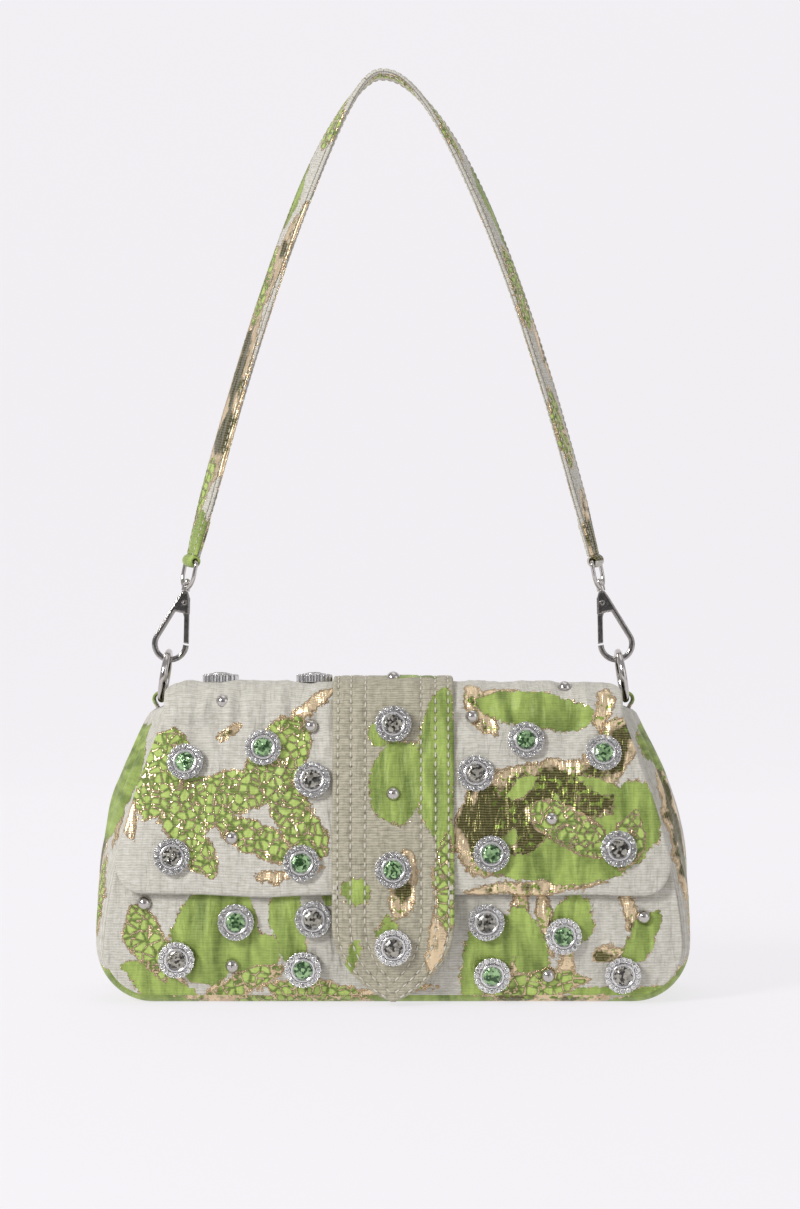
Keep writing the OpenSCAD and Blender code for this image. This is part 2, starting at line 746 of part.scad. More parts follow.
// The gate: a bar along the hook's open side, with a thin knuckle on the rivet
module gate() {
    foot = [outline_x(-1, gate_tip) + gate_w / 2, gate_tip];
    head = [outline_x(-1, plate_z) + gate_w / 2, plate_z - gate_gap];
    color("#c4c7cb") at_hook() rotate([90, 0, 0]) difference() {
        union() {
            linear_extrude(gate_t, center = true) polygon([
                foot - [gate_w / 2, 0], foot + [gate_w / 2, 0],
                head + [gate_w / 2, 0], head - [gate_w / 2, 0]
            ]);
            linear_extrude(knuckle_t, center = true) {
                translate(rivet_at) circle(knuckle_r);
                polygon([
                    head - [gate_w / 2, over], head + [gate_w / 2, -over],
                    rivet_at + [knuckle_r, 0], rivet_at - [knuckle_r, 0]
                ]);
            }
        }
        translate(rivet_at) cylinder(r = rivet_r + running, h = gate_t, center = true);
    }
}

// The swivel eye: a collar that the hook's stem turns in, and a wire loop with a straight bar for the strap
module swivel_eye(turn) {
    color("#c9ccd0") at_hook() rotate([0, 0, -turn]) difference() {
        union() {
            translate([0, 0, collar_z]) cylinder(r = collar_r, h = collar_h);
            translate([0, 0, eye_low + eye_r]) rotate([0, 90, 0]) rotate([0, 0, 90])
                eye_arc(eye_r, 180, 180);
            for (s = [-1, 1])
                translate([0, s * eye_r, eye_low + eye_r]) cylinder(r = eye_wire, h = eye_leg);
            for (s = [0, 1]) rotate([0, 0, 180 * s])
                translate([0, eye_r - eye_bend, bar_z - eye_bend]) rotate([0, 90, 0]) rotate([0, 0, 90])
                    eye_arc(eye_bend, 0, 90);
            translate([0, 0, bar_z]) rotate([90, 0, 0])
                cylinder(r = eye_wire, h = 2 * (eye_r - eye_bend), center = true);
        }
        translate([0, 0, collar_z - over])
            cylinder(r = stem_r + running, h = collar_h + eye_wire + 2 * over);
    }
}
module eye_arc(r, from, sweep) {
    rotate([0, 0, from]) rotate_extrude(angle = sweep) translate([r, 0]) circle(eye_wire);
}

// The strap: a ribbon along an arch, its broad side turned to the front down each leg
function arch(q) =
    let (k = abs(q), soft = (norm([k, arch_soft]) - arch_soft) / (norm([1, arch_soft]) - arch_soft)) [
        sign(q) * bar_at[0] * k + strap_shift * pow(1 - k, shift_power),
        strap_top - strap_t / 2 - strap_rise * pow(soft, arch_power)
    ];
function arch_dir(q) =
    let (h = 0.01, a = arch(max(-1, q - h)), b = arch(min(1, q + h))) unit(b - a);
function leg_turn(q) = (q < 0 ? left_turn : right_turn) * smooth(abs(q) / turn_share);
function strap_ring(q) =
    let (
        k = abs(q),
        p = arch(q),
        d = arch_dir(q),
        n = [-d[1], 0, d[0]],
        a = leg_turn(q),
        wide = [0, cos(a), 0] + sin(a) * n,
        thick = cos(a) * n - [0, sin(a), 0],
        hw = mix(strap_w, end_w, smooth((k - 1 + gather_share) / gather_share)) / 2,
        top = strap_t / 2,
        low = top + lap_t * smooth(4 * (k - 1 + lap_share) / lap_share)
    )
    [for (s = [
        [hw - bevel, -low], [hw, bevel - low], [hw, top - bevel], [hw - bevel, top],
        [bevel - hw, top], [-hw, top - bevel], [-hw, bevel - low], [bevel - hw, -low]
    ]) [p[0], 0, p[1]] + s[0] * wide + s[1] * thick];

module strap() {
    stations = [for (i = [-strap_steps : strap_steps])
        sign(i) * end_share * pow(abs(i) / strap_steps, spread_power)];
    color("#b8b98f") {
        rod([for (q = stations) strap_ring(q)]);
        strap_loop(right_turn);
        to_left() strap_loop(left_turn);
    }
}
module strap_loop(turn) {
    at_hook() translate([0, 0, bar_z]) rotate([0, 0, -turn]) rotate([90, 0, 0]) difference() {
        cylinder(r = loop_out, h = end_w, center = true);
        cylinder(r = loop_in, h = end_w + over, center = true);
    }
}

front_panel();
back_panel();
gusset();
lining();
base_board();
to_left() ring_tab();  // left_ring_tab
ring_tab();  // right_ring_tab
snap_socket();
snap_washer();
panel_settings();
panel_clear_stones();
panel_green_stones();
panel_studs();
flap_top();
flap_top_lining();
band_top();
top_settings();
top_stones();
top_studs();
flap_front();
flap_front_lining();
band_front();
flap_settings();
flap_clear_stones();
flap_green_stones();
flap_studs();
band_settings();
band_clear_stone();
band_green_stone();
band_stud();
tongue();
tongue_setting();
tongue_stone();
snap_stud();
to_left() ring();  // left_ring
ring();  // right_ring
strap();
to_left() swivel_eye(left_turn);  // left_swivel_eye
swivel_eye(right_turn);  // right_swivel_eye
to_left() hook();  // left_hook
to_left() hook_rivet();  // left_hook_rivet
to_left() gate();  // left_gate
hook();  // right_hook
hook_rivet();  // right_hook_rivet
gate();  // right_gate
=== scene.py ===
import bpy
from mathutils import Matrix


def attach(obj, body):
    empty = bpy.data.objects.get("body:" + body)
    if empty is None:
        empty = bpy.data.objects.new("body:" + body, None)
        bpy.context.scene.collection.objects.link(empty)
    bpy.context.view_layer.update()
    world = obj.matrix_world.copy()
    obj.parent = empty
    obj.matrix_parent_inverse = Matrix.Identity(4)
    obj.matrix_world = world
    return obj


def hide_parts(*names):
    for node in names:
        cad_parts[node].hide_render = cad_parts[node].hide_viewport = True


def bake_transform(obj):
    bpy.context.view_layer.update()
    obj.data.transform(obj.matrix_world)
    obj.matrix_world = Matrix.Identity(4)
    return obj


bl_info = {
    "name": "Brocade shoulder purse",
    "version": (1, 0, 0),
    "blender": (4, 5, 0),
    "location": "View3D > Sidebar > Purse",
    "description": "Dresses the packed frame of a brocade flap purse on a strap with swivel hooks",
    "category": "Object",
}

import math

import bmesh
import bpy
import numpy as np
from mathutils import Vector, noise

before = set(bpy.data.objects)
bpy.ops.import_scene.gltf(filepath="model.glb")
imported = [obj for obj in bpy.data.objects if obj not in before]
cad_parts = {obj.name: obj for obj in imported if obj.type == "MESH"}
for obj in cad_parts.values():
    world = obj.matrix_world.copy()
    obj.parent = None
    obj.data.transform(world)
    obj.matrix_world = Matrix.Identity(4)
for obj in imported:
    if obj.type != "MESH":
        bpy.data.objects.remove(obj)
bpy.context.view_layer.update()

# Sizes are in millimetres and the same as in the frame; meshes are turned to metres by this
MM = 0.001

# The body
HALF_W, MOUTH, PANEL_H = 123.5, 96.0, 128.0
CORNER_R, BASE_DROP, SIDE_Z, SIDE_POWER, DEPTH_POWER = 20.5, 3.5, 24.0, 1.6, 1.5
BASE_HALF_D, MOUTH_HALF_D, PANEL_SWELL = 37.0, 19.0, 5.0
CLOTH_T, LINING_T, SIDE_SWELL, GUSSET_DIP, EASE, SEAT = 1.6, 0.6, 11.0, 8.0, 0.3, 0.15

# The flap
FLAP_Z, FLAP_CORNER, FLAP_CORNER_H, FLAP_T, FLAP_EDGE = 47.0, 11.0, 14.0, 3.0, 0.5
RIDGE_R, RIDGE_Y, RIDGE_Z, BLEND_H = 14.0, -13.648, 122.2, 9.0
REAR_R, REAR_Y, REAR_Z = 6.0, 15.5, 128.3
STACK, NECK_HALF, NECK_Y = 4.55, 88.0, -2.0

# The closure band, its tongue and the rows of stitches in from its edges
BAND_HALF, BAND_T, TIP_Z, POINT_Z, TONGUE_LEVEL = 26.0, 3.0, 2.0, 36.0, 14.0
BAND_SPLIT_Z = 60.0
STITCH_ROWS = (2.4, 7.9, 14.1)

# The strap and the swivel eyes that it hangs in
BAR_X, BAR_Z, STRAP_TOP, STRAP_T, STRAP_W, END_W = 88.914, 189.53, 405.0, 3.0, 16.0, 9.5
STRAP_SHIFT, ARCH_POWER, ARCH_SOFT, HOOK_LEAN = -5.0, 1.58, 0.03, 11.0
LEFT_TURN, RIGHT_TURN, TURN_SHARE = 27.0, 21.0, 0.45
RING_FOOT, TAB_LEAN, TAB_L, TAB_W, TAB_SIDE = (102.043, 128.629), 22.1, 16.0, 7.0, 2.0

# A rosette: a rim of small stones in cups, and one large stone in a smooth bezel
ROSETTE_R, BEAD_R, DOME_R, FOOT_SHARE = 7.9, 1.25, 3.0, 1.4
RIM_H, BEZEL_R, BEZEL_H, STONE_R, STONE_LOW = 3.3, 4.7, 3.7, 4.35, 3.5

# Places of the trimmings, as shares that are read in the same way as in the part's source
PANEL_CLEAR = ((-0.0007, 0.776), (-0.6485, 0.414), (0.0627, 0.749), (0.7105, 0.272))
PANEL_GREEN = ((-0.366, 0.749), (-0.0489, 0.332), (0.428, 0.626), (0.0903, 0.278))
PANEL_STUDS = ((-0.807, 0.912), (-0.3866, 0.349), (0.8139, 0.79), (0.3591, 0.259))
FLAP_CLEAR = ((-0.0076, 0.742), (-0.6692, 0.49), (0.0145, 0.762), (0.6899, 0.515))
FLAP_GREEN = ((-0.6141, 0.8), (-0.2419, 0.847), (-0.0558, 0.47), (0.2557, 0.873), (0.6251, 0.83), (0.0862, 0.5))
FLAP_STUDS = ((-0.0172, 0.923), (-0.388, 0.555), (0.0007, 0.955), (0.3756, 0.617))
TOP_ROSETTES = (-0.4624, -0.0062)
BAND_CLEAR, BAND_GREEN, TONGUE_CLEAR = 0.924, 0.446, 0.203

# Shares of a height or half width at which a form swells, fades or turns, as in the part's source
SWELL_RISE, SWELL_FADE, SWELL_POWER = 0.3, 0.5, 2.5
GUSSET_RISE, GUSSET_RISE_SPAN, GUSSET_HIGH, GUSSET_HIGH_SPAN = 0.08, 0.54, 0.62, 0.38
GUSSET_FLAT, GUSSET_FLAT_SPAN, GUSSET_ROUND_POWER = 0.82, 0.18, 2.2

# Sewing and padding: how far in from an edge a row lies, and how far out from a trimming the cloth dips
SEAM_IN, SEAM_HALF_W, SEAM_TOP_GAP = 3.4, 0.9, 6.0
STRAP_STITCH_IN = 1.7
ROSETTE_DENT_R, STUD_DENT_R = 6.5, 3.5

# The lining, the base board and a ring tab's whole strip
LINING_GAP, LINING_INSET, BOARD_T, TAB_STRIP = 1.2, 2.5, 2.0, 45.0

# How far the motifs of the strap's inner face lie from those of its outer one, across and along
INNER_ACROSS, INNER_ALONG = 23.0, 31.0

# A distance that is far from any motif or sewing
FAR = 9.0

# The photograph's view: the camera's place in metres, and in millimetres how far off it is and how high a
# part of the purse's plane it sees
VIEW_PLACE, VIEW_AWAY, VIEW_HIGH = (0.0029, -1.2, 0.1703), 1200.0, 532.0


def rgb(code):
    """Linear colour of an sRGB hex value."""
    parts = [int(code[i : i + 2], 16) / 255 for i in (1, 3, 5)]
    return tuple(c / 12.92 if c <= 0.04045 else ((c + 0.055) / 1.055) ** 2.4 for c in parts) + (1.0,)


def smooth(t):
    t = np.clip(t, 0.0, 1.0)
    return t * t * (3 - 2 * t)


def mix(a, b, k):
    return a + (b - a) * k


# Shape of the body and the flap, by the same formulas as the frame


def seam_w(z):
    z = np.asarray(z, float)
    low = HALF_W - CORNER_R + np.sqrt(np.maximum(0, CORNER_R**2 - (SIDE_Z - np.maximum(z, BASE_DROP)) ** 2))
    rise = np.clip((z - SIDE_Z) / (PANEL_H - SIDE_Z), 0, None)
    return np.where(z < SIDE_Z, low, MOUTH + (HALF_W - MOUTH) * (1 - rise**SIDE_POWER))


def seam_d(z):
    rise = np.clip((np.asarray(z, float) - SIDE_Z) / (PANEL_H - SIDE_Z), 0, None)
    return MOUTH_HALF_D + (BASE_HALF_D - MOUTH_HALF_D) * (1 - rise**DEPTH_POWER)


def swell(z):
    z = np.asarray(z, float)
    rise = np.clip((z - BASE_DROP) / (SWELL_RISE * PANEL_H), 0, 1)
    return PANEL_SWELL * (1 - (1 - rise) ** 2) * (1 - SWELL_FADE * z / PANEL_H)


def panel_depth(x, z):
    share = np.minimum(1, np.abs(x) / seam_w(z))
    return seam_d(z) + swell(z) * (1 - share**SWELL_POWER)


def flap_depth(x, z):
    return mix(panel_depth(x, z) + STACK, RIDGE_R - RIDGE_Y, smooth((z - RIDGE_Z + BLEND_H) / BLEND_H))


def flap_half(z):
    z = np.asarray(z, float)
    turn = FLAP_Z + FLAP_CORNER_H
    round_in = FLAP_CORNER * (1 - np.sqrt(np.clip(1 - ((turn - z) / FLAP_CORNER_H) ** 2, 0, 1)))
    return np.where(z < turn, seam_w(turn) + FLAP_EDGE - round_in, seam_w(np.minimum(z, RIDGE_Z)) + FLAP_EDGE)


def top_half(y):
    span = NECK_Y - RIDGE_Y + RIDGE_R * math.sin(math.radians(45))
    return mix(NECK_HALF, flap_half(RIDGE_Z), smooth((NECK_Y - y) / span))


def tongue_half(z):
    t = np.clip((POINT_Z - np.asarray(z, float)) / (POINT_Z - TIP_Z), 0, 1)
    return np.maximum(1.2, BAND_HALF * (1 - t**2.2) ** 0.8)


def tongue_depth(x, z):
    return flap_depth(x, np.maximum(z, TONGUE_LEVEL))


def beside(share):
    """Place across the purse of a trimming, in millimetres: its share starts close beside the band."""
    return math.copysign(mix(BAND_HALF + ROSETTE_R, HALF_W, abs(share)), share)


def stand(x, z, depth, up, r):
    """Foot and direction of a trimming that stands on a surface, as the frame has it."""
    foot = r * FOOT_SHARE
    sides = [float(depth(x - foot, z)), float(depth(x + foot, z))]
    ends = [float(depth(x, z - foot)), float(depth(x, z + foot))]
    far = max(float(depth(x, z)), sum(sides) / 2, sum(ends) / 2)
    out = Vector(((sides[0] - sides[1]) / (2 * foot), -1, (ends[0] - ends[1]) / (2 * foot))).normalized()
    return Vector((x, -far, z)) + out * up, out


def stand_on_top(x, y, up):
    """The same for a rosette on the flap's top, behind its ridge."""
    low, high = RIDGE_Z + RIDGE_R, REAR_Z + REAR_R
    lean = math.atan((high - low) / (REAR_Y - RIDGE_Y))
    out = Vector((0, -math.sin(lean), math.cos(lean)))
    return Vector((x, y, mix(low, high, (y - RIDGE_Y) / (REAR_Y - RIDGE_Y)))) + out * up, out


def rosette_places():
    """Foot, direction and colour of stone of each rosette, by the body that it rides on."""
    band_up = 2 * SEAT + BAND_T
    places = {"bag": [], "lid_front": [], "lid_top": [], "tongue_end": []}
    for colour, on_panel, on_flap in (("clear", PANEL_CLEAR, FLAP_CLEAR), ("green", PANEL_GREEN, FLAP_GREEN)):
        for x, z in on_panel:
            places["bag"].append((*stand(beside(x), z * FLAP_Z, panel_depth, SEAT, ROSETTE_R), colour))
        for x, z in on_flap:
            places["lid_front"].append((*stand(beside(x), z * PANEL_H, flap_depth, SEAT, ROSETTE_R), colour))
    for colour, z in (("clear", BAND_CLEAR), ("green", BAND_GREEN)):
        places["lid_front"].append((*stand(0, z * PANEL_H, flap_depth, band_up, ROSETTE_R), colour))
    for x in TOP_ROSETTES:
        places["lid_top"].append((*stand_on_top(beside(x), RIDGE_Y + ROSETTE_R / 2, SEAT), "clear"))
    places["tongue_end"].append((*stand(0, TONGUE_CLEAR * PANEL_H, tongue_depth, band_up, ROSETTE_R), "clear"))
    return places


# Cloth surfaces as grids of points

# Distances from an edge where a cloth's rolled edge gets its rows of points
EDGE = np.array([0.0, 0.12, 0.35, 0.7, 1.15, 1.7, 2.5])


def between(low, high, pitch):
    """Places from low to high, crowded at both ends for the rolled edge."""
    count = max(2, int(round((high - low - 2 * EDGE[-1]) / pitch)))
    middle = np.linspace(low + EDGE[-1], high - EDGE[-1], count + 1)
    return np.concatenate([low + EDGE[:-1], middle, high - EDGE[:-1][::-1]])


def across(half, pitch):
    """Places across each row of points, from minus its half width to plus it."""
    half = np.asarray(half, float)[:, None]
    widest = float(np.max(half))
    base = between(-widest, widest, pitch)[None, :]
    inner = widest - EDGE[-1]
    margin = np.minimum(EDGE[-1], 0.6 * half)
    body = base * (half - margin) / inner
    rim = np.sign(base) * (half - (widest - np.abs(base)) * margin / EDGE[-1])
    return np.where(np.abs(base) > inner, rim, body)


def grain(points, scale, octaves=3, seed=0.0):
    """Smooth noise from about -1 to 1 at each point; scale is one over its size in millimetres."""
    shift = Vector((seed * 17.3, seed * 5.1, seed * 9.7))
    size = np.array(scale)
    flat = points.reshape(-1, 3) * size
    out = [noise.fractal(Vector(p) + shift, 1.0, 2.0, octaves) for p in flat]
    return np.array(out).reshape(points.shape[:-1])


def flat_cloth(u, v):
    return np.stack([u, v, np.zeros_like(u)], axis=-1)


def grid_normals(grid):
    """Unit normals of a grid of points, whose rows go up and whose columns go to the right."""
    n = np.cross(np.gradient(grid, axis=1), np.gradient(grid, axis=0))
    return n / np.maximum(1e-9, np.linalg.norm(n, axis=2, keepdims=True))


def rolled(distance, r):
    """Share of its full thickness that a cloth with a rolled edge has at a distance from the edge."""
    return np.sqrt(np.clip(1 - (1 - np.clip(distance / r, 0, 1)) ** 2, 0, 1))


def dented(grid, places, r, depth):
    """How padded cloth sinks under its trimmings, and swells a little in a ring round each."""
    lift = np.zeros(grid.shape[:2])
    for foot, *_ in places:
        d = np.linalg.norm(grid - np.array(foot), axis=2)
        lift -= depth * np.exp(-((d / r) ** 2)) - 0.45 * depth * np.exp(-(((d - 1.8 * r) / (0.6 * r)) ** 2))
    return lift


def new_object(name, verts, faces, finish):
    mesh = bpy.data.meshes.new(name)
    mesh.from_pydata([tuple(v) for v in verts], [], faces)
    mesh.validate()
    mesh.polygons.foreach_set("use_smooth", [True] * len(mesh.polygons))
    obj = bpy.data.objects.new(name, mesh)
    bpy.context.scene.collection.objects.link(obj)
    mesh.materials.append(finish)
    return obj


def add_layers(mesh, uv, fields):
    """Gives a cloth its own map, in metres along the cloth, and its motif distances in millimetres."""
    layer = mesh.uv_layers.new(name="cloth")
    index = np.empty(len(mesh.loops), int)
    mesh.loops.foreach_get("vertex_index", index)
    layer.data.foreach_set("uv", (uv[index] * MM).astype(np.float32).ravel())
    for name, values in fields.items():
        attribute = mesh.attributes.new(name, "FLOAT", "POINT")
        attribute.data.foreach_set("value", np.asarray(values, np.float32))


def cloth_shell(name, middle, normals, half_t, uv, fields, finish):
    """A closed cloth: points on both sides of a middle grid, which meet all round its edge."""
    rows, cols, _ = middle.shape
    inside = np.zeros((rows, cols), bool)
    inside[1:-1, 1:-1] = True
    outer = middle + normals * half_t[..., None]
    inner = middle - normals * half_t[..., None]
    front = np.arange(rows * cols).reshape(rows, cols)
    back = front.copy()
    back[inside] = rows * cols + np.arange(inside.sum())
    faces = []
    for ids, order in ((front, (0, 1, 2, 3)), (back, (0, 3, 2, 1))):
        corners = (ids[:-1, :-1], ids[:-1, 1:], ids[1:, 1:], ids[1:, :-1])
        faces.append(np.stack([corners[i] for i in order], axis=-1).reshape(-1, 4))
    verts = np.concatenate([outer.reshape(-1, 3), inner[inside]]) * MM
    obj = new_object(name, verts, np.concatenate(faces).tolist(), finish)
    flat = {key: np.concatenate([value.reshape(-1), value[inside]]) for key, value in fields.items()}
    add_layers(obj.data, np.concatenate([uv.reshape(-1, 2), uv[inside]]), flat)
    return obj


def flap_rows(pitch):
    """Rows of the flap from its lower edge over the ridge to the back seam."""
    rows = [("front", z) for z in between(FLAP_Z, RIDGE_Z, pitch) if z < RIDGE_Z - 0.6]
    steps = max(4, int(RIDGE_R * math.pi / 2 / pitch))
    rows += [("ridge", 180 - 90 * i / steps) for i in range(steps)]
    steps = max(4, int((REAR_Y - RIDGE_Y) / pitch))
    rows += [("flat", i / steps) for i in range(steps)]
    arc = REAR_R * math.pi / 2
    return rows + [("rear", 90 - 90 * s / arc) for s in between(0, arc, pitch)[6:]]


def flap_surface(rows, pitch, up=0.0, inset=0.0, half=None):
    """Points out from the flap's outer face by up: the grid, its places on the cloth, and distances to the side."""
    yz, halves = [], []
    for kind, value in rows:
        a = math.radians(value)
        if kind == "front":
            yz.append((None, value))
            halves.append(float(flap_half(value)))
            continue
        if kind == "ridge":
            y, z = RIDGE_Y + (RIDGE_R + up) * math.cos(a), RIDGE_Z + (RIDGE_R + up) * math.sin(a)
        elif kind == "flat":
            y, z = mix(RIDGE_Y, REAR_Y, value), mix(RIDGE_Z + RIDGE_R, REAR_Z + REAR_R, value) + up
        else:
            y, z = REAR_Y + (REAR_R + up) * math.cos(a), REAR_Z + (REAR_R + up) * math.sin(a)
        yz.append((y, z))
        halves.append(float(top_half(y)))
    halves = np.full(len(rows), half) if half else np.array(halves) - inset
    x = across(halves, pitch)
    grid = np.empty(x.shape + (3,))
    grid[..., 0] = x
    for i, (y, z) in enumerate(yz):
        grid[i, :, 2] = z
        grid[i, :, 1] = -flap_depth(x[i], z) - up if y is None else y
    middle = grid[:, grid.shape[1] // 2]
    length = np.concatenate([[0], np.cumsum(np.linalg.norm(np.diff(middle, axis=0), axis=1))])
    v = np.repeat(length[:, None], x.shape[1], axis=1)
    return grid, x, v, halves[:, None] - np.abs(x)


# Motifs of the brocade, as distances in millimetres that are below 0 inside them


def disc(u, v, cx, cy, a, b, turn=0.0):
    c, s = math.cos(math.radians(turn)), math.sin(math.radians(turn))
    x, y = (u - cx) * c + (v - cy) * s, (v - cy) * c - (u - cx) * s
    return (np.sqrt((x / a) ** 2 + (y / b) ** 2) - 1) * min(a, b)


def leaf(u, v, cx, cy, length, width, turn):
    c, s = math.cos(math.radians(turn)), math.sin(math.radians(turn))
    x, y = (u - cx) * c + (v - cy) * s, (v - cy) * c - (u - cx) * s
    taper = np.clip(1 - np.abs(2 * x / length) ** 2.6, 0, 1) ** 0.7
    return np.maximum(np.abs(y) - 0.5 * width * taper, np.abs(x) - 0.5 * length)


SHAPES = {"disc": disc, "leaf": leaf}
WEAVES = ("petal", "satin", "foil")

# The layout is a generic one of leaves, discs and foil patches. By weave and shape, each motif's place, size
# and turn on the cloth, in millimetres and degrees: a leaf's length and width, and a disc's two radii. The
# weave called petal is the crackled one
FLAP_MOTIFS = {
    ("satin", "leaf"): (
        (-88, 44, 20, 8, 40), (84, 18, 54, 27, 14), (56, 46, 16, 6, 30), (50, 24, 14, 5, 70), (88, 46, 20, 6, -20),
        (72, 36, 15, 5, 100), (62, 80, 50, 17, -8), (-70, 112, 40, 18, 20),
    ),
    ("satin", "disc"): (
        (-45, 44, 9, 12, 20), (104, 34, 11, 15, 20), (58, 12, 16, 6, 0), (108, 84, 9, 7, 20),
    ),
    ("petal", "leaf"): (
        (-100, 52, 40, 22, 74), (-78, 40, 46, 20, 22), (-86, 22, 34, 14, 128), (-50, 58, 46, 22, 62),
        (-40, 30, 34, 18, 118), (-60, 24, 36, 14, -28), (76, 28, 38, 16, 150), (100, 22, 26, 12, 76),
        (60, 112, 34, 15, 10),
    ),
    ("foil", "leaf"): (
        (-112, 34, 22, 5, 100), (-44, 9, 30, 4, 8), (-36, 82, 24, 6, 38), (-70, 70, 14, 4, 20),
        (92, 60, 44, 16, 56), (38, 80, 26, 8, 118), (90, 80, 18, 7, 84), (60, 3, 60, 5, 2), (44, 88, 18, 4, 10),
    ),
    ("foil", "disc"): ((66, 34, 32, 23, 12), (42, 30, 15, 22, -20)),
}
PANEL_MOTIFS = {
    ("satin", "leaf"): (
        (-76, 30, 44, 34, 62), (-44, 34, 34, 15, 96), (-98, 6, 40, 14, -30), (8, 20, 30, 10, 80),
        (40, 20, 42, 22, 70), (58, 26, 36, 15, 108), (106, 28, 28, 12, 56), (96, 4, 50, 5, 0),
        (-64, 92, 50, 24, 40), (70, 92, 52, 24, 110), (-20, 62, 40, 18, 70), (-98, 64, 30, 14, 80),
    ),
    ("satin", "disc"): ((-58, 18, 9, 13, -10), (78, 36, 9, 9, 0)),
    ("petal", "leaf"): (
        (-104, 26, 34, 16, 112), (-64, 8, 40, 9, 24), (-34, 6, 40, 9, -4), (60, 8, 44, 12, 6), (0, 84, 46, 20, 20),
        (-76, 78, 40, 18, 110), (-40, 104, 34, 16, -20), (46, 66, 44, 20, 150), (12, 112, 30, 12, -30),
    ),
    ("foil", "leaf"): (
        (-96, 15, 30, 6, 122), (-74, 12, 24, 4, 62), (54, 36, 30, 8, 84), (66, 34, 28, 7, 98), (50, 14, 34, 6, 40),
        (72, 16, 26, 5, 74), (100, 38, 24, 5, 112), (92, 22, 14, 6, 20), (-10, 5, 60, 3, 2), (-34, 78, 40, 10, 60),
        (30, 100, 34, 9, 130), (94, 62, 26, 9, 60),
    ),
    ("foil", "disc"): ((66, 76, 24, 15, 20),),
}
GUSSET_MOTIFS = {
    ("satin", "leaf"): ((-140, 8, 40, 18, 30),),
    ("satin", "disc"): (
        (-206, -8, 30, 26, 0), (222, -6, 15, 24, 0), (-106, -20, 26, 20, 0), (112, -22, 26, 14, 0),
        (10, -32, 34, 5, 0), (130, 10, 30, 20, 0), (-60, 8, 50, 16, 0),
    ),
    ("petal", "leaf"): (
        (-156, -27, 34, 12, -8), (148, -27, 22, 8, 12), (176, 10, 50, 22, 20), (-176, 12, 48, 22, 160),
        (20, 6, 60, 22, 10),
    ),
    ("petal", "disc"): ((-40, -31, 30, 6, 0),),
    ("foil", "leaf"): (
        (-168, -14, 44, 12, 10), (180, -22, 74, 20, 4), (-196, -30, 40, 4, 4), (205, 14, 34, 10, 150),
        (-120, -4, 30, 9, 60),
    ),
    ("foil", "disc"): ((62, -33, 30, 5, 0), (-80, -33, 14, 4, 0)),
}
BAND_MOTIFS = {
    ("satin", "leaf"): ((18, 60, 64, 15, 84), (21, 30, 50, 11, 94), (8, 100, 22, 7, 0), (-17, -26, 18, 6, 70)),
    ("satin", "disc"): ((2, 48, 12, 18, -8), (-4, 70, 6, 6, 0), (-16, 2, 5, 6, 0), (-2, -16, 5, 8, 20)),
    ("petal", "leaf"): ((22, 6, 44, 10, 92),),
    ("foil", "leaf"): ((20, 70, 26, 6, 96), (4, 4, 28, 11, 78), (18, -16, 34, 8, 80), (-2, 36, 14, 4, 116)),
}
STRAP_MOTIFS = {
    ("satin", "leaf"): ((-4, -232, 40, 20, 80), (5, -70, 30, 8, 90), (5, 0, 34, 7, 90), (4, 74, 40, 9, 85)),
    ("petal", "leaf"): (
        (4, -205, 34, 12, 100), (3, -112, 40, 10, 86), (0, -34, 30, 14, 80), (-4, 34, 36, 8, 92),
        (-2, 112, 44, 12, 96), (-3, 176, 40, 12, 84),
    ),
    ("foil", "leaf"): ((0, -160, 90, 17, 88), (-4, -96, 50, 9, 95), (4, 140, 30, 6, 90), (2, 226, 44, 18, 90)),
}
TAB_MOTIFS = {("satin", "disc"): ((1, 20, 9, 16, 0),), ("foil", "disc"): ((-3, 34, 5, 8, 0),)}


def motif_fields(u, v, layout):
    """Distances to the nearest motif of each weave, whose outlines wander as woven ones do. The distance
    to the nearest row of sewing is far, unless the piece gives its own."""
    place = flat_cloth(u, v)
    sizes = ((0.045, 2.6), (0.16, 1.3))
    shift = [sum(a * grain(place, (s, s, 0), 2, 30 + i + a) for s, a in sizes) for i in (0, 1)]
    out = {key: np.full(u.shape, FAR) for key in (*WEAVES, "seam")}
    for (weave, shape), motifs in layout.items():
        for values in motifs:
            out[weave] = np.minimum(out[weave], SHAPES[shape](u + shift[0], v + shift[1], *values))
    return {weave: np.clip(value, -FAR, FAR) for weave, value in out.items()}


# Materials


def add(tree, kind, links=None, out=0, **settings):
    """Adds a node with its settings, and links or values for its inputs, and gives one of its outputs."""
    made = tree.nodes.new(kind)
    for key, value in settings.items():
        setattr(made, key, value)
    for key, value in (links or {}).items():
        if isinstance(value, bpy.types.NodeSocket):
            tree.links.new(value, made.inputs[key])
        else:
            made.inputs[key].default_value = value
    return made.outputs[out] if made.outputs else None


def new_material(name):
    made = bpy.data.materials.new(name)
    made.use_nodes = True
    made.node_tree.nodes.clear()
    return made, made.node_tree


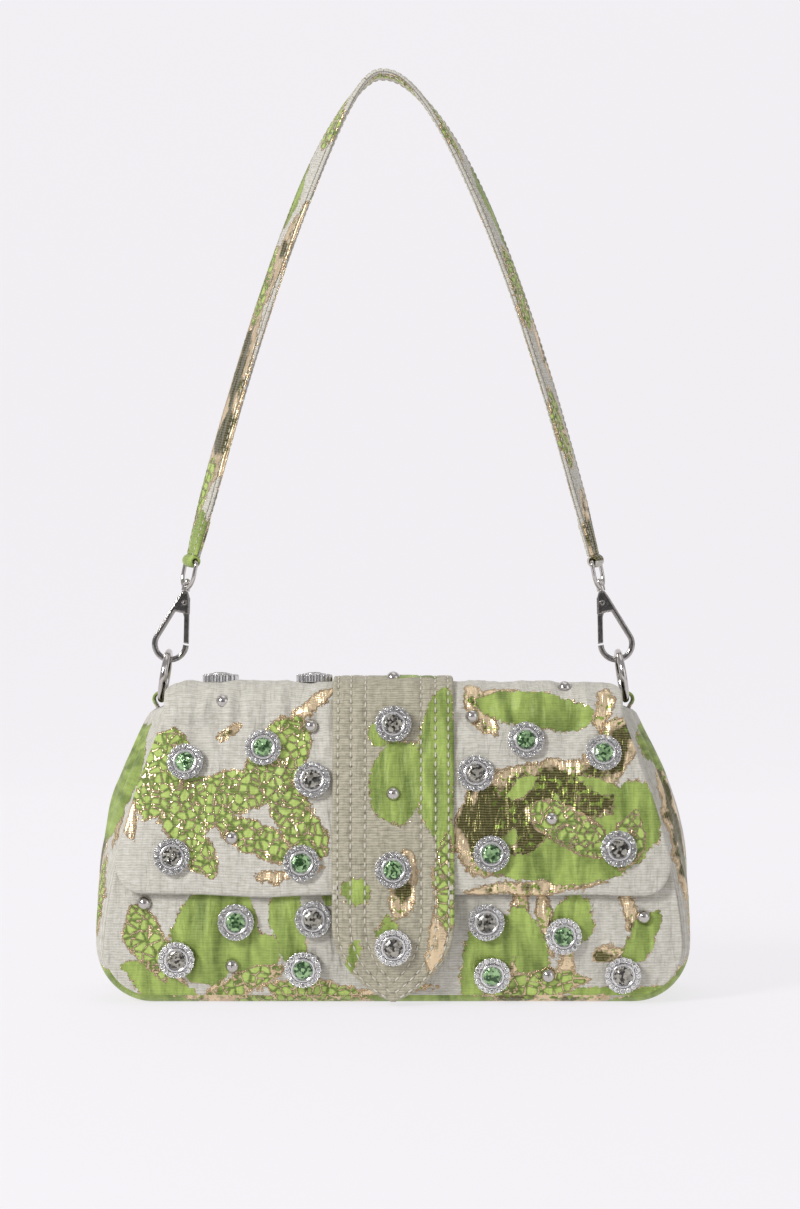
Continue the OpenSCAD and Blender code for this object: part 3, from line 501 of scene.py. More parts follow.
def brocade(name, ground, shade, cloth, flecks):
    """Jacquard brocade. Its crepe ribs give the ground a dry, broken shine; the satin is smoother and
    brighter, the petal weave is crackled by raised metal yarn, and the foil weave's creased shine is a painted
    highlight."""
    made, tree = new_material(name)
    math_node, ranged, noise_node = "ShaderNodeMath", "ShaderNodeMapRange", "ShaderNodeTexNoise"
    uv = add(tree, "ShaderNodeUVMap", uv_map="cloth")
    place = add(tree, "ShaderNodeVectorMath", {0: uv, "Scale": 1000.0}, operation="SCALE")
    # Ribs 1.1 mm apart, and the crepe that breaks them up
    ribs = add(tree, "ShaderNodeTexWave", {0: place, "Scale": 0.285, "Distortion": 2.2, "Detail": 3.0},
               out=1, bands_direction="Y")
    wide = add(tree, "ShaderNodeMapping", {0: place, "Scale": (2.6, 1.0, 1.0)}, vector_type="TEXTURE")
    crepe = add(tree, noise_node, {0: wide, "Scale": 0.7, "Detail": 3.0, "Roughness": 0.6})
    tall = add(tree, "ShaderNodeMapping", {0: place, "Scale": (1.0, 4.5, 1.0)}, vector_type="TEXTURE")
    folds = add(tree, noise_node, {0: tall, "Scale": 0.16, "Detail": 3.0, "Distortion": 0.5})
    crinkle = add(tree, noise_node, {0: tall, "Scale": 0.36, "Detail": 2.0, "Distortion": 0.4})
    weave = add(tree, math_node, {0: ribs, 1: 0.2}, operation="MULTIPLY")
    weave = add(tree, math_node, {0: crepe, 1: 0.8, 2: weave}, operation="MULTIPLY_ADD")
    # The ground's colour follows the height of the ribs and crepe: painted shade in their valleys, with the weave's
    # own uneven tone
    tone = add(tree, ranged, {0: weave, 1: 0.30, 2: 0.68})
    # Woven outlines are stepped: a fine noise breaks each one up
    jag = add(tree, noise_node, {0: place, "Scale": 0.55, "Detail": 3.0})
    jag = add(tree, math_node, {0: jag, 1: 4.4, 2: -2.2}, operation="MULTIPLY_ADD")
    distance, inside = {}, {}
    for weave_name in WEAVES:
        field = add(tree, "ShaderNodeAttribute", out=2, attribute_name=weave_name)
        distance[weave_name] = add(tree, math_node, {0: field, 1: jag}, operation="ADD")
        inside[weave_name] = add(tree, ranged, {0: distance[weave_name], 1: 0.15, 2: -0.15})
    not_satin = add(tree, math_node, {0: 1.0, 1: inside["satin"]}, operation="SUBTRACT")
    not_petal = add(tree, math_node, {0: 1.0, 1: inside["petal"]}, operation="SUBTRACT")
    plain = add(tree, math_node, {0: not_satin, 1: not_petal}, operation="MULTIPLY")
    only_foil = add(tree, math_node, {0: inside["foil"], 1: plain}, operation="MULTIPLY")
    # Crackle of metal yarn in the petals, its cells about 4 mm wide
    bent = add(tree, "ShaderNodeVectorMath", {0: jag, 1: (0.2, 0.2, 0.0), 2: place}, operation="MULTIPLY_ADD")
    cells = add(tree, "ShaderNodeTexVoronoi", {0: bent, "Scale": 0.26}, feature="DISTANCE_TO_EDGE")
    broken = add(tree, noise_node, {0: place, "Scale": 0.4, "Detail": 2.0})
    crackle = add(tree, ranged, {0: cells, 1: 0.085, 2: 0.05})
    shown = add(tree, ranged, {0: broken, 1: 0.47, 2: 0.51})
    crackle = add(tree, math_node, {0: crackle, 1: shown}, operation="MULTIPLY")
    yarn = add(tree, math_node, {0: crackle, 1: inside["petal"]}, operation="MULTIPLY")
    for weave_name, width, where in (("petal", 0.6, 1.0), ("foil", 0.6, plain), ("satin", 0.35, shown)):
        near = add(tree, math_node, {0: distance[weave_name]}, operation="ABSOLUTE")
        line = add(tree, ranged, {0: near, 1: width, 2: width * 0.6})
        line = add(tree, math_node, {0: line, 1: where}, operation="MULTIPLY")
        yarn = add(tree, math_node, {0: yarn, 1: line}, operation="MAXIMUM")
    specks = add(tree, noise_node, {0: place, "Scale": 0.6, "Detail": 4.0, "Roughness": 0.7})
    specks = add(tree, ranged, {0: specks, 1: 0.72 - flecks, 2: 0.76 - flecks})
    yarn = add(tree, math_node, {0: yarn, 1: specks}, operation="MAXIMUM")
    # Colours, each between its valley and its crest. These are painted light and shade: the foil weave has a painted
    # highlight near its outline and on its creases and painted shade, dark olive, between them; the petals have a
    # painted shadow beside their raised yarn, and the yarn is painted lit and unlit in patches
    creased = add(tree, noise_node, {0: place, "Scale": 0.08, "Detail": 2.0})
    creased = add(tree, math_node, {0: creased, 1: 2.0, 2: folds}, operation="MULTIPLY_ADD")
    # Painted highlight on the foil: lit near its outline, on its creases and along the ribs
    foil_painted_highlight = add(tree, ranged, {0: distance["foil"], 1: -7.0, 2: 0.0, 4: 0.7})
    foil_painted_highlight = add(tree, math_node, {0: foil_painted_highlight, 1: creased}, operation="ADD")
    foil_painted_highlight = add(tree, ranged, {0: foil_painted_highlight, 1: 1.76, 2: 2.0})
    foil_painted_highlight = add(tree, math_node, {0: ribs, 1: 0.22, 2: foil_painted_highlight}, operation="MULTIPLY_ADD", use_clamp=True)
    # Painted shade in the valleys of the satin's soft folds and painted light on their crests, with a little of the
    # weave's tone
    soft = add(tree, ranged, {0: folds, 1: 0.34, 2: 0.66, 4: 0.75})
    soft = add(tree, math_node, {0: tone, 1: 0.3, 2: soft}, operation="MULTIPLY_ADD", use_clamp=True)
    # Painted shadow beside the petals' raised yarn: the petal shade colour close to the crackle lines, the petal
    # colour between them
    clear_of_yarn_shadow = add(tree, ranged, {0: cells, 1: 0.07, 2: 0.22, 4: 0.8})
    clear_of_yarn_shadow = add(tree, math_node, {0: tone, 1: 0.3, 2: clear_of_yarn_shadow}, operation="MULTIPLY_ADD", use_clamp=True)
    colour = add(tree, "ShaderNodeMix", {0: tone, 6: tuple(shade), 7: tuple(ground)}, out=2, data_type="RGBA")
    # Scraps of green show through the foil weave near the satin
    scraps = add(tree, ranged, {0: broken, 1: 0.56, 2: 0.58})
    close_by = add(tree, ranged, {0: distance["satin"], 1: 7.0, 2: 5.0})
    scraps = add(tree, math_node, {0: scraps, 1: close_by}, operation="MULTIPLY")
    scraps = add(tree, math_node, {0: scraps, 1: inside["foil"]}, operation="MULTIPLY")
    levels = ((inside["foil"], foil_painted_highlight, cloth.foil_olive_and_shade, cloth.foil_highlight),
              (scraps, soft, cloth.satin_shade, cloth.satin),
              (inside["satin"], soft, cloth.satin_shade, cloth.satin),
              (inside["petal"], clear_of_yarn_shadow, cloth.petal_shade, cloth.petal),
              (yarn, broken, cloth.yarn_shade, cloth.yarn))
    for share, height, low, high in levels:
        shaded = add(tree, "ShaderNodeMix", {0: height, 6: tuple(low), 7: tuple(high)}, out=2, data_type="RGBA")
        colour = add(tree, "ShaderNodeMix", {0: share, 6: colour, 7: shaded}, out=2, data_type="RGBA")
    # Sewing holes and the grooves beside them are in shadow
    seam = add(tree, "ShaderNodeAttribute", out=2, attribute_name="seam")
    seam = add(tree, ranged, {0: seam, 1: 1.1, 2: 0.2, 4: 0.6})
    colour = add(tree, "ShaderNodeMix", {0: seam, 6: colour, 7: tuple(cloth.seam)}, out=2, data_type="RGBA")
    metal = add(tree, math_node, {0: only_foil, 1: 0.85}, operation="MULTIPLY")
    metal = add(tree, math_node, {0: metal, 1: yarn}, operation="MAXIMUM")
    rough = add(tree, math_node, {0: metal, 1: -0.38, 2: 0.68}, operation="MULTIPLY_ADD")
    rough = add(tree, math_node, {0: inside["satin"], 1: -0.16, 2: rough}, operation="MULTIPLY_ADD")
    # Height in millimetres: weave 0.22, soft folds 1.6, crinkles 0.8, petals 0.4, yarn 0.5 and the foil's
    # creases 1.2 more
    height = add(tree, math_node, {0: weave, 1: 0.22}, operation="MULTIPLY")
    for part, tall_by in ((folds, 1.6), (crinkle, 0.8), (inside["petal"], 0.4), (yarn, 0.5)):
        height = add(tree, math_node, {0: part, 1: tall_by, 2: height}, operation="MULTIPLY_ADD")
    crease = add(tree, math_node, {0: only_foil, 1: folds}, operation="MULTIPLY")
    height = add(tree, math_node, {0: crease, 1: 1.2, 2: height}, operation="MULTIPLY_ADD")
    bump = add(tree, "ShaderNodeBump", {"Height": height, "Strength": 1.0, "Distance": 0.001})
    surface = add(tree, "ShaderNodeBsdfPrincipled", {
        "Base Color": colour, "Metallic": metal, "Roughness": rough, "Normal": bump,
        "Sheen Weight": 0.12, "Sheen Roughness": 0.5})
    add(tree, "ShaderNodeOutputMaterial", {"Surface": surface})
    return made


def plain_weave(name, light, dark, pitch, rough):
    """Plain woven cloth: even threads that give a dull, finely checked surface."""
    made, tree = new_material(name)
    place = add(tree, "ShaderNodeTexCoord", out=3)
    place = add(tree, "ShaderNodeVectorMath", {0: place, "Scale": 1000.0}, operation="SCALE")
    threads = [add(tree, "ShaderNodeTexWave", {0: place, "Scale": 0.314 / pitch}, out=1, bands_direction=way)
               for way in ("X", "Z")]
    woven = add(tree, "ShaderNodeMath", {0: threads[0], 1: threads[1]}, operation="MULTIPLY")
    uneven = add(tree, "ShaderNodeTexNoise", {0: place, "Scale": 0.08, "Detail": 3.0})
    tone = add(tree, "ShaderNodeMath", {0: uneven, 1: 0.6}, operation="MULTIPLY")
    tone = add(tree, "ShaderNodeMath", {0: woven, 1: 0.4, 2: tone}, operation="MULTIPLY_ADD")
    colour = add(tree, "ShaderNodeMix", {0: tone, 6: rgb(dark), 7: rgb(light)}, out=2, data_type="RGBA")
    bump = add(tree, "ShaderNodeBump", {"Height": woven, "Strength": 0.5, "Distance": 0.0002})
    surface = add(tree, "ShaderNodeBsdfPrincipled", {"Base Color": colour, "Roughness": rough, "Normal": bump})
    add(tree, "ShaderNodeOutputMaterial", {"Surface": surface})
    return made


def plated(name, light, dark, rough):
    """Bright plate on cast metal, which mirrors the room with faint marks of handling. Its edges are
    softened, so that each catches a line of light."""
    made, tree = new_material(name)
    place = add(tree, "ShaderNodeTexCoord", out=3)
    marks = add(tree, "ShaderNodeTexNoise", {0: place, "Scale": 900.0, "Detail": 4.0})
    colour = add(tree, "ShaderNodeMix", {0: marks, 6: rgb(dark), 7: rgb(light)}, out=2, data_type="RGBA")
    gloss = add(tree, "ShaderNodeMath", {0: marks, 1: 0.1, 2: rough}, operation="MULTIPLY_ADD")
    edges = add(tree, "ShaderNodeBevel", {"Radius": 0.0006}, samples=4)
    bump = add(tree, "ShaderNodeBump", {"Height": marks, "Strength": 0.12, "Distance": 0.00004, "Normal": edges})
    surface = add(tree, "ShaderNodeBsdfPrincipled", {
        "Base Color": colour, "Metallic": 1.0, "Roughness": gloss, "Normal": bump})
    add(tree, "ShaderNodeOutputMaterial", {"Surface": surface})
    return made


def foiled_glass(name, light, dark, cell):
    """Cut glass with a mirror foil behind it: facets whose bright or dark reflections are painted into their colour
    by turns, under a hard gloss.
    """
    made, tree = new_material(name)
    place = add(tree, "ShaderNodeTexCoord", out=3)
    # Each facet's colour is a painted reflection, bright or dark by cell
    facets = add(tree, "ShaderNodeTexVoronoi", {0: place, "Scale": 1.0 / (cell * MM)}, out=1)
    share = add(tree, "ShaderNodeSeparateColor", {0: facets})
    share = add(tree, "ShaderNodeMapRange", {0: share, 1: 0.25, 2: 0.75})
    colour = add(tree, "ShaderNodeMix", {0: share, 6: tuple(dark), 7: tuple(light)}, out=2, data_type="RGBA")
    tilt = add(tree, "ShaderNodeTexVoronoi", {0: place, "Scale": 1.0 / (cell * MM)})
    bump = add(tree, "ShaderNodeBump", {"Height": tilt, "Strength": 0.5, "Distance": cell * MM * 0.5})
    surface = add(tree, "ShaderNodeBsdfPrincipled", {
        "Base Color": colour, "Metallic": 0.4, "Roughness": 0.12, "Normal": bump,
        "Coat Weight": 0.6, "Coat Roughness": 0.03})
    add(tree, "ShaderNodeOutputMaterial", {"Surface": surface})
    return made


MATERIALS = {}


def material(key):
    """The named finish, made the first time that a piece needs it."""
    cloth, trim = bpy.context.scene.purse_cloth, bpy.context.scene.purse_trim
    makers = {
        "brocade": lambda: brocade("Woven jacquard brocade, grey ground", cloth.ground, cloth.shade, cloth, 0.0),
        "band": lambda: brocade("Woven jacquard brocade, sand ground", cloth.band, cloth.band_shade, cloth, 0.0),
        "strap": lambda: brocade("Woven jacquard brocade, flecked", cloth.ground, cloth.shade, cloth, 0.10),
        "lining": lambda: plain_weave("Plain woven viscose", "#9b937c", "#7a735f", 0.5, 0.7),
        "board": lambda: plain_weave("Pressed paper board", "#5d5850", "#47433c", 0.8, 0.9),
        "thread": lambda: plain_weave("Twisted polyester thread", "#dfdccd", "#bcb8a7", 0.4, 0.55),
        "nickel": lambda: plated("Nickel plated zinc", "#d6d2ce", "#b2aeaa", 0.07),
        "silver": lambda: plated("Rhodium plated brass", "#f2f1f0", "#d4d3d2", 0.16),
        # The stones' bright and dark colours are painted reflections in their facets
        "clear": lambda: foiled_glass("Foiled cut glass, smoky", trim.clear, trim.clear_dark_reflection, 1.1),
        "green": lambda: foiled_glass("Foiled cut glass, green", trim.green, trim.green_dark_reflection, 1.1),
        "rim": lambda: foiled_glass("Foiled cut glass, white", rgb("#eeeeec"), rgb("#7c7c7a"), 0.8),
    }
    if key not in MATERIALS:
        MATERIALS[key] = makers[key]()
    return MATERIALS[key]


# Geometry Nodes for what repeats


def new_tree(name, inputs):
    """An empty tree with geometry in and out, and the named inputs."""
    tree = bpy.data.node_groups.new(name, "GeometryNodeTree")
    tree.interface.new_socket("Geometry", in_out="INPUT", socket_type="NodeSocketGeometry")
    tree.interface.new_socket("Geometry", in_out="OUTPUT", socket_type="NodeSocketGeometry")
    for label, kind in inputs:
        tree.interface.new_socket(label, in_out="INPUT", socket_type="NodeSocket" + kind)
    entry = tree.nodes.new("NodeGroupInput")
    return tree, {socket.name: socket for socket in entry.outputs if socket.name}


def run_tree(obj, tree, values):
    """Runs a tree on an object and keeps what it makes as the object's plain mesh."""
    modifier = obj.modifiers.new(tree.name, "NODES")
    modifier.node_group = tree
    for item in tree.interface.items_tree:
        if item.name in values:
            modifier[item.identifier] = values[item.name]
    bpy.context.view_layer.update()
    result = obj.evaluated_get(bpy.context.evaluated_depsgraph_get())
    mesh = bpy.data.meshes.new_from_object(result)
    obj.modifiers.clear()
    if not len(mesh.polygons):
        raise RuntimeError(f"{obj.name}: its tree made nothing")
    obj.data = mesh
    return obj


def points_object(name, places, edges=()):
    """A mesh of bare points, each with the direction that points out of the cloth there."""
    mesh = bpy.data.meshes.new(name)
    mesh.from_pydata([tuple(Vector(p) * MM) for p, _ in places], list(edges), [])
    out = mesh.attributes.new("out", "FLOAT_VECTOR", "POINT")
    out.data.foreach_set("vector", [c for _, n in places for c in n])
    obj = bpy.data.objects.new(name, mesh)
    bpy.context.scene.collection.objects.link(obj)
    return obj


def close_tree(tree, geometry, finish):
    """The end of every tree: real geometry with its finish."""
    real = add(tree, "GeometryNodeRealizeInstances", {0: geometry})
    done = add(tree, "GeometryNodeSetMaterial", {"Geometry": real, "Material": finish})
    add(tree, "NodeGroupOutput", {0: done})


def out_turn(tree):
    """The turn that stands a repeated piece upright on the cloth."""
    out = add(tree, "GeometryNodeInputNamedAttribute", {"Name": "out"}, data_type="FLOAT_VECTOR")
    return add(tree, "FunctionNodeAlignRotationToVector", {"Vector": out}, axis="Z")


def setting_tree():
    """A rosette's metal: a ring of cups with prongs between them, a plate, and a smooth raised bezel."""
    inputs = (("Cups", "Int"), ("Ring radius", "Float"), ("Cup radius", "Float"), ("Rim height", "Float"),
              ("Bezel radius", "Float"), ("Bezel height", "Float"), ("Finish", "Material"))
    tree, given = new_tree("rosette_setting", inputs)
    move, cylinder, combine = "GeometryNodeTransform", "GeometryNodeMeshCylinder", "ShaderNodeCombineXYZ"
    ring = add(tree, "GeometryNodeMeshCircle", {"Vertices": given["Cups"], "Radius": given["Ring radius"]})
    cup = add(tree, cylinder, {"Vertices": 10, "Radius": given["Cup radius"], "Depth": given["Rim height"]})
    cups = add(tree, "GeometryNodeInstanceOnPoints", {"Points": ring, "Instance": cup})
    half = add(tree, "ShaderNodeMath", {0: given["Rim height"], 1: 0.5}, operation="MULTIPLY")
    up = add(tree, combine, {"Z": half})
    cups = add(tree, move, {"Geometry": cups, "Translation": up})
    # Prongs stand between the cups, half a step round
    step = add(tree, "ShaderNodeMath", {0: math.pi, 1: given["Cups"]}, operation="DIVIDE")
    round_by = add(tree, combine, {"Z": step})
    top = add(tree, combine, {"Z": given["Rim height"]})
    prong = add(tree, "GeometryNodeMeshIcoSphere", {"Radius": 0.00036, "Subdivisions": 1})
    prongs = add(tree, "GeometryNodeInstanceOnPoints", {"Points": ring, "Instance": prong})
    outer, inner = [
        add(tree, move, {"Geometry": prongs, "Translation": top, "Rotation": round_by, "Scale": (wide, wide, 1.0)})
        for wide in (1.13, 0.87)]
    flat = add(tree, "ShaderNodeMath", {0: given["Rim height"], 1: 0.7}, operation="MULTIPLY")
    plate = add(tree, cylinder, {"Vertices": 32, "Radius": given["Ring radius"], "Depth": flat})
    low = add(tree, "ShaderNodeMath", {0: given["Rim height"], 1: 0.35}, operation="MULTIPLY")
    low = add(tree, combine, {"Z": low})
    plate = add(tree, move, {"Geometry": plate, "Translation": low})
    # The bezel is a round wire ring on a short wall
    circle = "GeometryNodeCurvePrimitiveCircle"
    wire = add(tree, circle, {"Resolution": 32, "Radius": given["Bezel radius"]}, mode="RADIUS")
    section = add(tree, circle, {"Resolution": 10, "Radius": 0.0005}, mode="RADIUS")
    bezel = add(tree, "GeometryNodeCurveToMesh", {"Curve": wire, "Profile Curve": section})
    bezel = add(tree, "GeometryNodeSetShadeSmooth", {"Geometry": bezel})
    high = add(tree, combine, {"Z": given["Bezel height"]})
    bezel = add(tree, move, {"Geometry": bezel, "Translation": high})
    wall = add(tree, cylinder, {"Vertices": 32, "Radius": given["Bezel radius"], "Depth": given["Bezel height"]})
    middle = add(tree, "ShaderNodeMath", {0: given["Bezel height"], 1: 0.5}, operation="MULTIPLY")
    middle = add(tree, combine, {"Z": middle})
    wall = add(tree, move, {"Geometry": wall, "Translation": middle})
    whole = add(tree, "GeometryNodeJoinGeometry")
    for part in (cups, outer, inner, plate, bezel, wall):
        tree.links.new(part, whole.node.inputs[0])
    set_out = add(tree, "GeometryNodeInstanceOnPoints", {
        "Points": given["Geometry"], "Instance": whole, "Rotation": out_turn(tree)})
    close_tree(tree, set_out, given["Finish"])
    return tree


def stone_tree():
    """Cut stones: a girdle, a crown in two turns of facets, and a flat table."""
    inputs = (("Facets", "Int"), ("Radius", "Float"), ("Crown", "Float"), ("Height", "Float"), ("Finish", "Material"))
    tree, given = new_tree("cut_stone", inputs)
    cone, combine = "GeometryNodeMeshCone", "ShaderNodeCombineXYZ"
    low_top, high_foot, table = [
        add(tree, "ShaderNodeMath", {0: given["Radius"], 1: share}, operation="MULTIPLY")
        for share in (0.84, 0.88, 0.6)]
    part = add(tree, "ShaderNodeMath", {0: given["Crown"], 1: 0.5}, operation="MULTIPLY")
    low = add(tree, cone, {
        "Vertices": given["Facets"], "Radius Top": low_top, "Radius Bottom": given["Radius"], "Depth": part})
    high = add(tree, cone, {
        "Vertices": given["Facets"], "Radius Top": table, "Radius Bottom": high_foot, "Depth": part})
    turn = add(tree, "ShaderNodeMath", {0: math.pi, 1: given["Facets"]}, operation="DIVIDE")
    turn = add(tree, combine, {"Z": turn})
    lift = add(tree, "ShaderNodeMath", {0: part, 1: 0.9}, operation="MULTIPLY")
    lift = add(tree, combine, {"Z": lift})
    high = add(tree, "GeometryNodeTransform", {"Geometry": high, "Translation": lift, "Rotation": turn})
    whole = add(tree, "GeometryNodeJoinGeometry")
    for piece in (low, high):
        tree.links.new(piece, whole.node.inputs[0])
    rise = add(tree, combine, {"Z": given["Height"]})
    stone = add(tree, "GeometryNodeTransform", {"Geometry": whole, "Translation": rise})
    set_out = add(tree, "GeometryNodeInstanceOnPoints", {
        "Points": given["Geometry"], "Instance": stone, "Rotation": out_turn(tree)})
    close_tree(tree, set_out, given["Finish"])
    return tree


def stitch_tree():
    """Running stitches along sewn lines: short rounded lengths of thread at an even pitch."""
    inputs = (("Pitch", "Float"), ("Length", "Float"), ("Thickness", "Float"), ("Finish", "Material"))
    tree, given = new_tree("running_stitch", inputs)
    line = add(tree, "GeometryNodeMeshToCurve", {0: given["Geometry"]})
    line = add(tree, "GeometryNodeResampleCurve", {"Curve": line, "Length": given["Pitch"]}, mode="LENGTH")
    points = add(tree, "GeometryNodeCurveToPoints", {0: line}, mode="EVALUATED")
    turn = add(tree, "FunctionNodeAlignRotationToVector", {
        "Rotation": out_turn(tree), "Vector": points.node.outputs["Tangent"]}, axis="X", pivot_axis="Z")
    ball = add(tree, "GeometryNodeMeshUVSphere", {"Segments": 6, "Rings": 4, "Radius": 0.5})
    size = add(tree, "ShaderNodeCombineXYZ", {
        "X": given["Length"], "Y": given["Thickness"], "Z": given["Thickness"]})
    stitches = add(tree, "GeometryNodeInstanceOnPoints", {
        "Points": points, "Instance": ball, "Rotation": turn, "Scale": size})
    stitches = add(tree, "GeometryNodeRealizeInstances", {0: stitches})
    stitches = add(tree, "GeometryNodeSetShadeSmooth", {"Geometry": stitches})
    close_tree(tree, stitches, given["Finish"])
    return tree


TREES = {}


def tree_for(maker):
    """A tree, made the first time that a piece needs it."""
    if maker not in TREES:
        TREES[maker] = maker()
    return TREES[maker]


def sew(name, lines, pitch, length, thickness):
    """Stitches along lines, each a list of places and outward directions."""
    places, edges = [], []
    for line in lines:
        # The line ends at a whole number of stitches
        gone, kept = 0.0, [line[0]]
        steps = [(b[0] - a[0]).length for a, b in zip(line, line[1:])]
        whole = sum(steps) * MM // pitch * pitch / MM
        for step, point in zip(steps, line[1:]):
            if gone + step > whole:
                part = (whole - gone) / step
                kept.append(tuple(a.lerp(b, part) for a, b in zip(kept[-1], point)))
                break
            gone += step
            kept.append(point)
        line = kept
        start = len(places)
        places += line
        edges += [(start + i, start + i + 1) for i in range(len(line) - 1)]
    obj = points_object(name, places, edges)
    values = {"Pitch": pitch, "Length": length, "Thickness": thickness, "Finish": material("thread")}
    return run_tree(obj, tree_for(stitch_tree), values)


def along_row(grid, normals, x_of_row, up):
    """A line over a grid of points, at the given place across each of its rows."""
    line = []
    for points, ways, x in zip(grid, normals, x_of_row):
        place = np.array([np.interp(x, points[:, 0], points[:, i]) for i in range(3)])
        way = np.array([np.interp(x, points[:, 0], ways[:, i]) for i in range(3)])
        line.append((Vector(place + up * way), Vector(way)))
    return line


# Cloth pieces


def make_flap(cloth):
    pitch = cloth.grid / MM
    grid, u, v, side = flap_surface(flap_rows(pitch), pitch)
    normals = grid_normals(grid)
    end = np.minimum(v, v.max() - v)
    place = flat_cloth(u, v)
    # Puckers run down from the ridge, and the padded cloth is uneven all over
    near_ridge = np.exp(-(((v - 76) / 18) ** 2))
    pucker = grain(place, (0.115, 0.024, 0), 3, 1.0) * (0.35 + 1.2 * near_ridge)
    uneven = grain(place, (0.034, 0.04, 0), 2, 2.0) + 2.2 * near_ridge * grain(place, (0.13, 0.08, 0), 3, 3.0)
    rosettes = rosette_places()
    studs = [stand(beside(x), z * PANEL_H, flap_depth, EASE, DOME_R) for x, z in FLAP_STUDS]
    lift = pucker * cloth.pucker / MM + 0.6 * uneven + 0.5
    lift += dented(grid, rosettes["lid_front"][:-2] + rosettes["lid_top"], ROSETTE_DENT_R, cloth.dent / MM)
    lift += dented(grid, studs, STUD_DENT_R, 0.7 * cloth.dent / MM)
    lift *= smooth(np.minimum(side, end + 2.0) / 7.0)
    # Its lower edge isn't quite straight
    grid[..., 2] += 1.3 * grain(place, (0.022, 0, 0), 2, 5.0) * (1 - smooth(v / 25))
    half_t = FLAP_T / 2 * rolled(np.minimum(side, end), 1.5)
    middle = grid - normals * (FLAP_T / 2) + normals * lift[..., None]
    flap = cloth_shell("flap_cloth", middle, normals, half_t, np.stack([u, v], axis=-1),
                       motif_fields(u, v, FLAP_MOTIFS), material("brocade"))
    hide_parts("flap_top", "flap_front")
    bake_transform(flap)


def make_flap_lining():
    grid, u, v, side = flap_surface(flap_rows(3.0)[5:], 3.0, up=-FLAP_T - EASE, inset=LINING_INSET)
    normals = grid_normals(grid)
    half_t = LINING_T / 2 * rolled(np.minimum(side, np.minimum(v, v.max() - v)), 0.3)
    lining = cloth_shell("flap_lining", grid - normals * LINING_T / 2, normals, half_t, np.stack([u, v], axis=-1),
                         {}, material("lining"))
    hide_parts("flap_top_lining", "flap_front_lining")
    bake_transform(lining)


def quilted(side, v, pitch, depth):
    """How the band dips along its rows of stitches, most of all at the holes between the stitches, and the
    distance from the nearest hole or row. The stitches are counted from the seam between its two parts."""
    hole = (0.5 - 0.5 * np.cos(math.tau * (v - BAND_SPLIT_Z + FLAP_Z) / pitch)) ** 3
    dip, near = np.zeros_like(side), np.full(side.shape, FAR)
    for row in STITCH_ROWS:
        dip -= np.exp(-(((side - row) / 0.9) ** 2)) * depth * (0.8 + 0.7 * hole)
        near = np.minimum(near, np.abs(side - row) + 0.75 * (1 - hole))
    return dip, near


def make_band(cloth, trim):
    """The sewn part of the closure band, with its rows of stitches."""
    rows = [("front", BAND_SPLIT_Z)] + [r for r in flap_rows(0.7) if r[0] != "front" or r[1] > BAND_SPLIT_Z + 0.4]
    grid, u, v, side = flap_surface(rows, 0.7, up=SEAT + BAND_T, half=BAND_HALF)
    v = v + BAND_SPLIT_Z - FLAP_Z
    normals = grid_normals(grid)
    ripple = 0.5 * grain(flat_cloth(u, v), (0.09, 0.03, 0), 3, 4.0)
    dip, near = quilted(side, v, trim.stitch_pitch / MM, cloth.seam_depth / MM)
    lift = dip + (ripple + 0.3) * smooth(side / 3)
    half_t = BAND_T / 2 * rolled(np.minimum(side, v.max() - v), 1.4)
    middle = grid - normals * (BAND_T / 2) + normals * lift[..., None]
    band = cloth_shell("closure_band", middle, normals, half_t, np.stack([u, v], axis=-1),
                       motif_fields(u, v, BAND_MOTIFS) | {"seam": near}, material("band"))
    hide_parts("band_top", "band_front")
    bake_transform(band)
    outer = middle + normals * half_t[..., None]
    lines = [along_row(outer, normals, [s * (BAND_HALF - row)] * len(outer), 0.1)
             for row in STITCH_ROWS for s in (-1, 1)]
    sewn = sew("band_stitches", lines, trim.stitch_pitch, trim.stitch_length, trim.thread)
    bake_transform(sewn)


def make_tongue(cloth, trim):
    """The lower part of the band and its free pointed tongue."""
    middle_rows = np.arange(TIP_Z + EDGE[-1], BAND_SPLIT_Z - 0.4, 0.7)
    heights = np.concatenate([TIP_Z + EDGE[:-1], middle_rows, [BAND_SPLIT_Z]])
    halves = tongue_half(heights)
    u = across(halves, 0.7)
    z = np.repeat(heights[:, None], u.shape[1], axis=1)
    v = z - FLAP_Z
    grid = np.stack([u, -tongue_depth(u, z) - SEAT - BAND_T, z], axis=-1)
    normals = grid_normals(grid)
    side, low = halves[:, None] - np.abs(u), z - TIP_Z
    ripple = 0.5 * grain(flat_cloth(u, v), (0.09, 0.03, 0), 3, 4.0)
    dip, near = quilted(side, v, trim.stitch_pitch / MM, cloth.seam_depth / MM)
    lift = dip * smooth(low / 8) + (ripple + 0.3) * smooth(np.minimum(side, low) / 3)
    half_t = BAND_T / 2 * rolled(np.minimum(side, low), 1.4)
    middle = grid - normals * (BAND_T / 2) + normals * lift[..., None]
    tongue = cloth_shell("band_tongue", middle, normals, half_t, np.stack([u, v], axis=-1),
                         motif_fields(u, v, BAND_MOTIFS) | {"seam": near}, material("band"))
    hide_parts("tongue")
    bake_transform(tongue)
    outer = middle + normals * half_t[..., None]
    lines = []
    for row in STITCH_ROWS:
        kept = halves > row + 0.4
        for s in (-1, 1):
            lines.append(along_row(outer[kept], normals[kept], s * (halves[kept] - row), 0.1)[::-1])
    # Two short bars of thread hold the band to the flap's edge
    near_edge = (heights > FLAP_Z - 1) & (heights < FLAP_Z + 5)
    for x in (BAND_HALF - 0.9, BAND_HALF - 1.4, BAND_HALF - 1.9):
        for s in (-1, 1):
            lines.append(along_row(outer[near_edge], normals[near_edge], [s * x] * near_edge.sum(), 0.3))
    sewn = sew("tongue_stitches", lines, trim.stitch_pitch, trim.stitch_length, trim.thread)
    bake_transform(sewn)


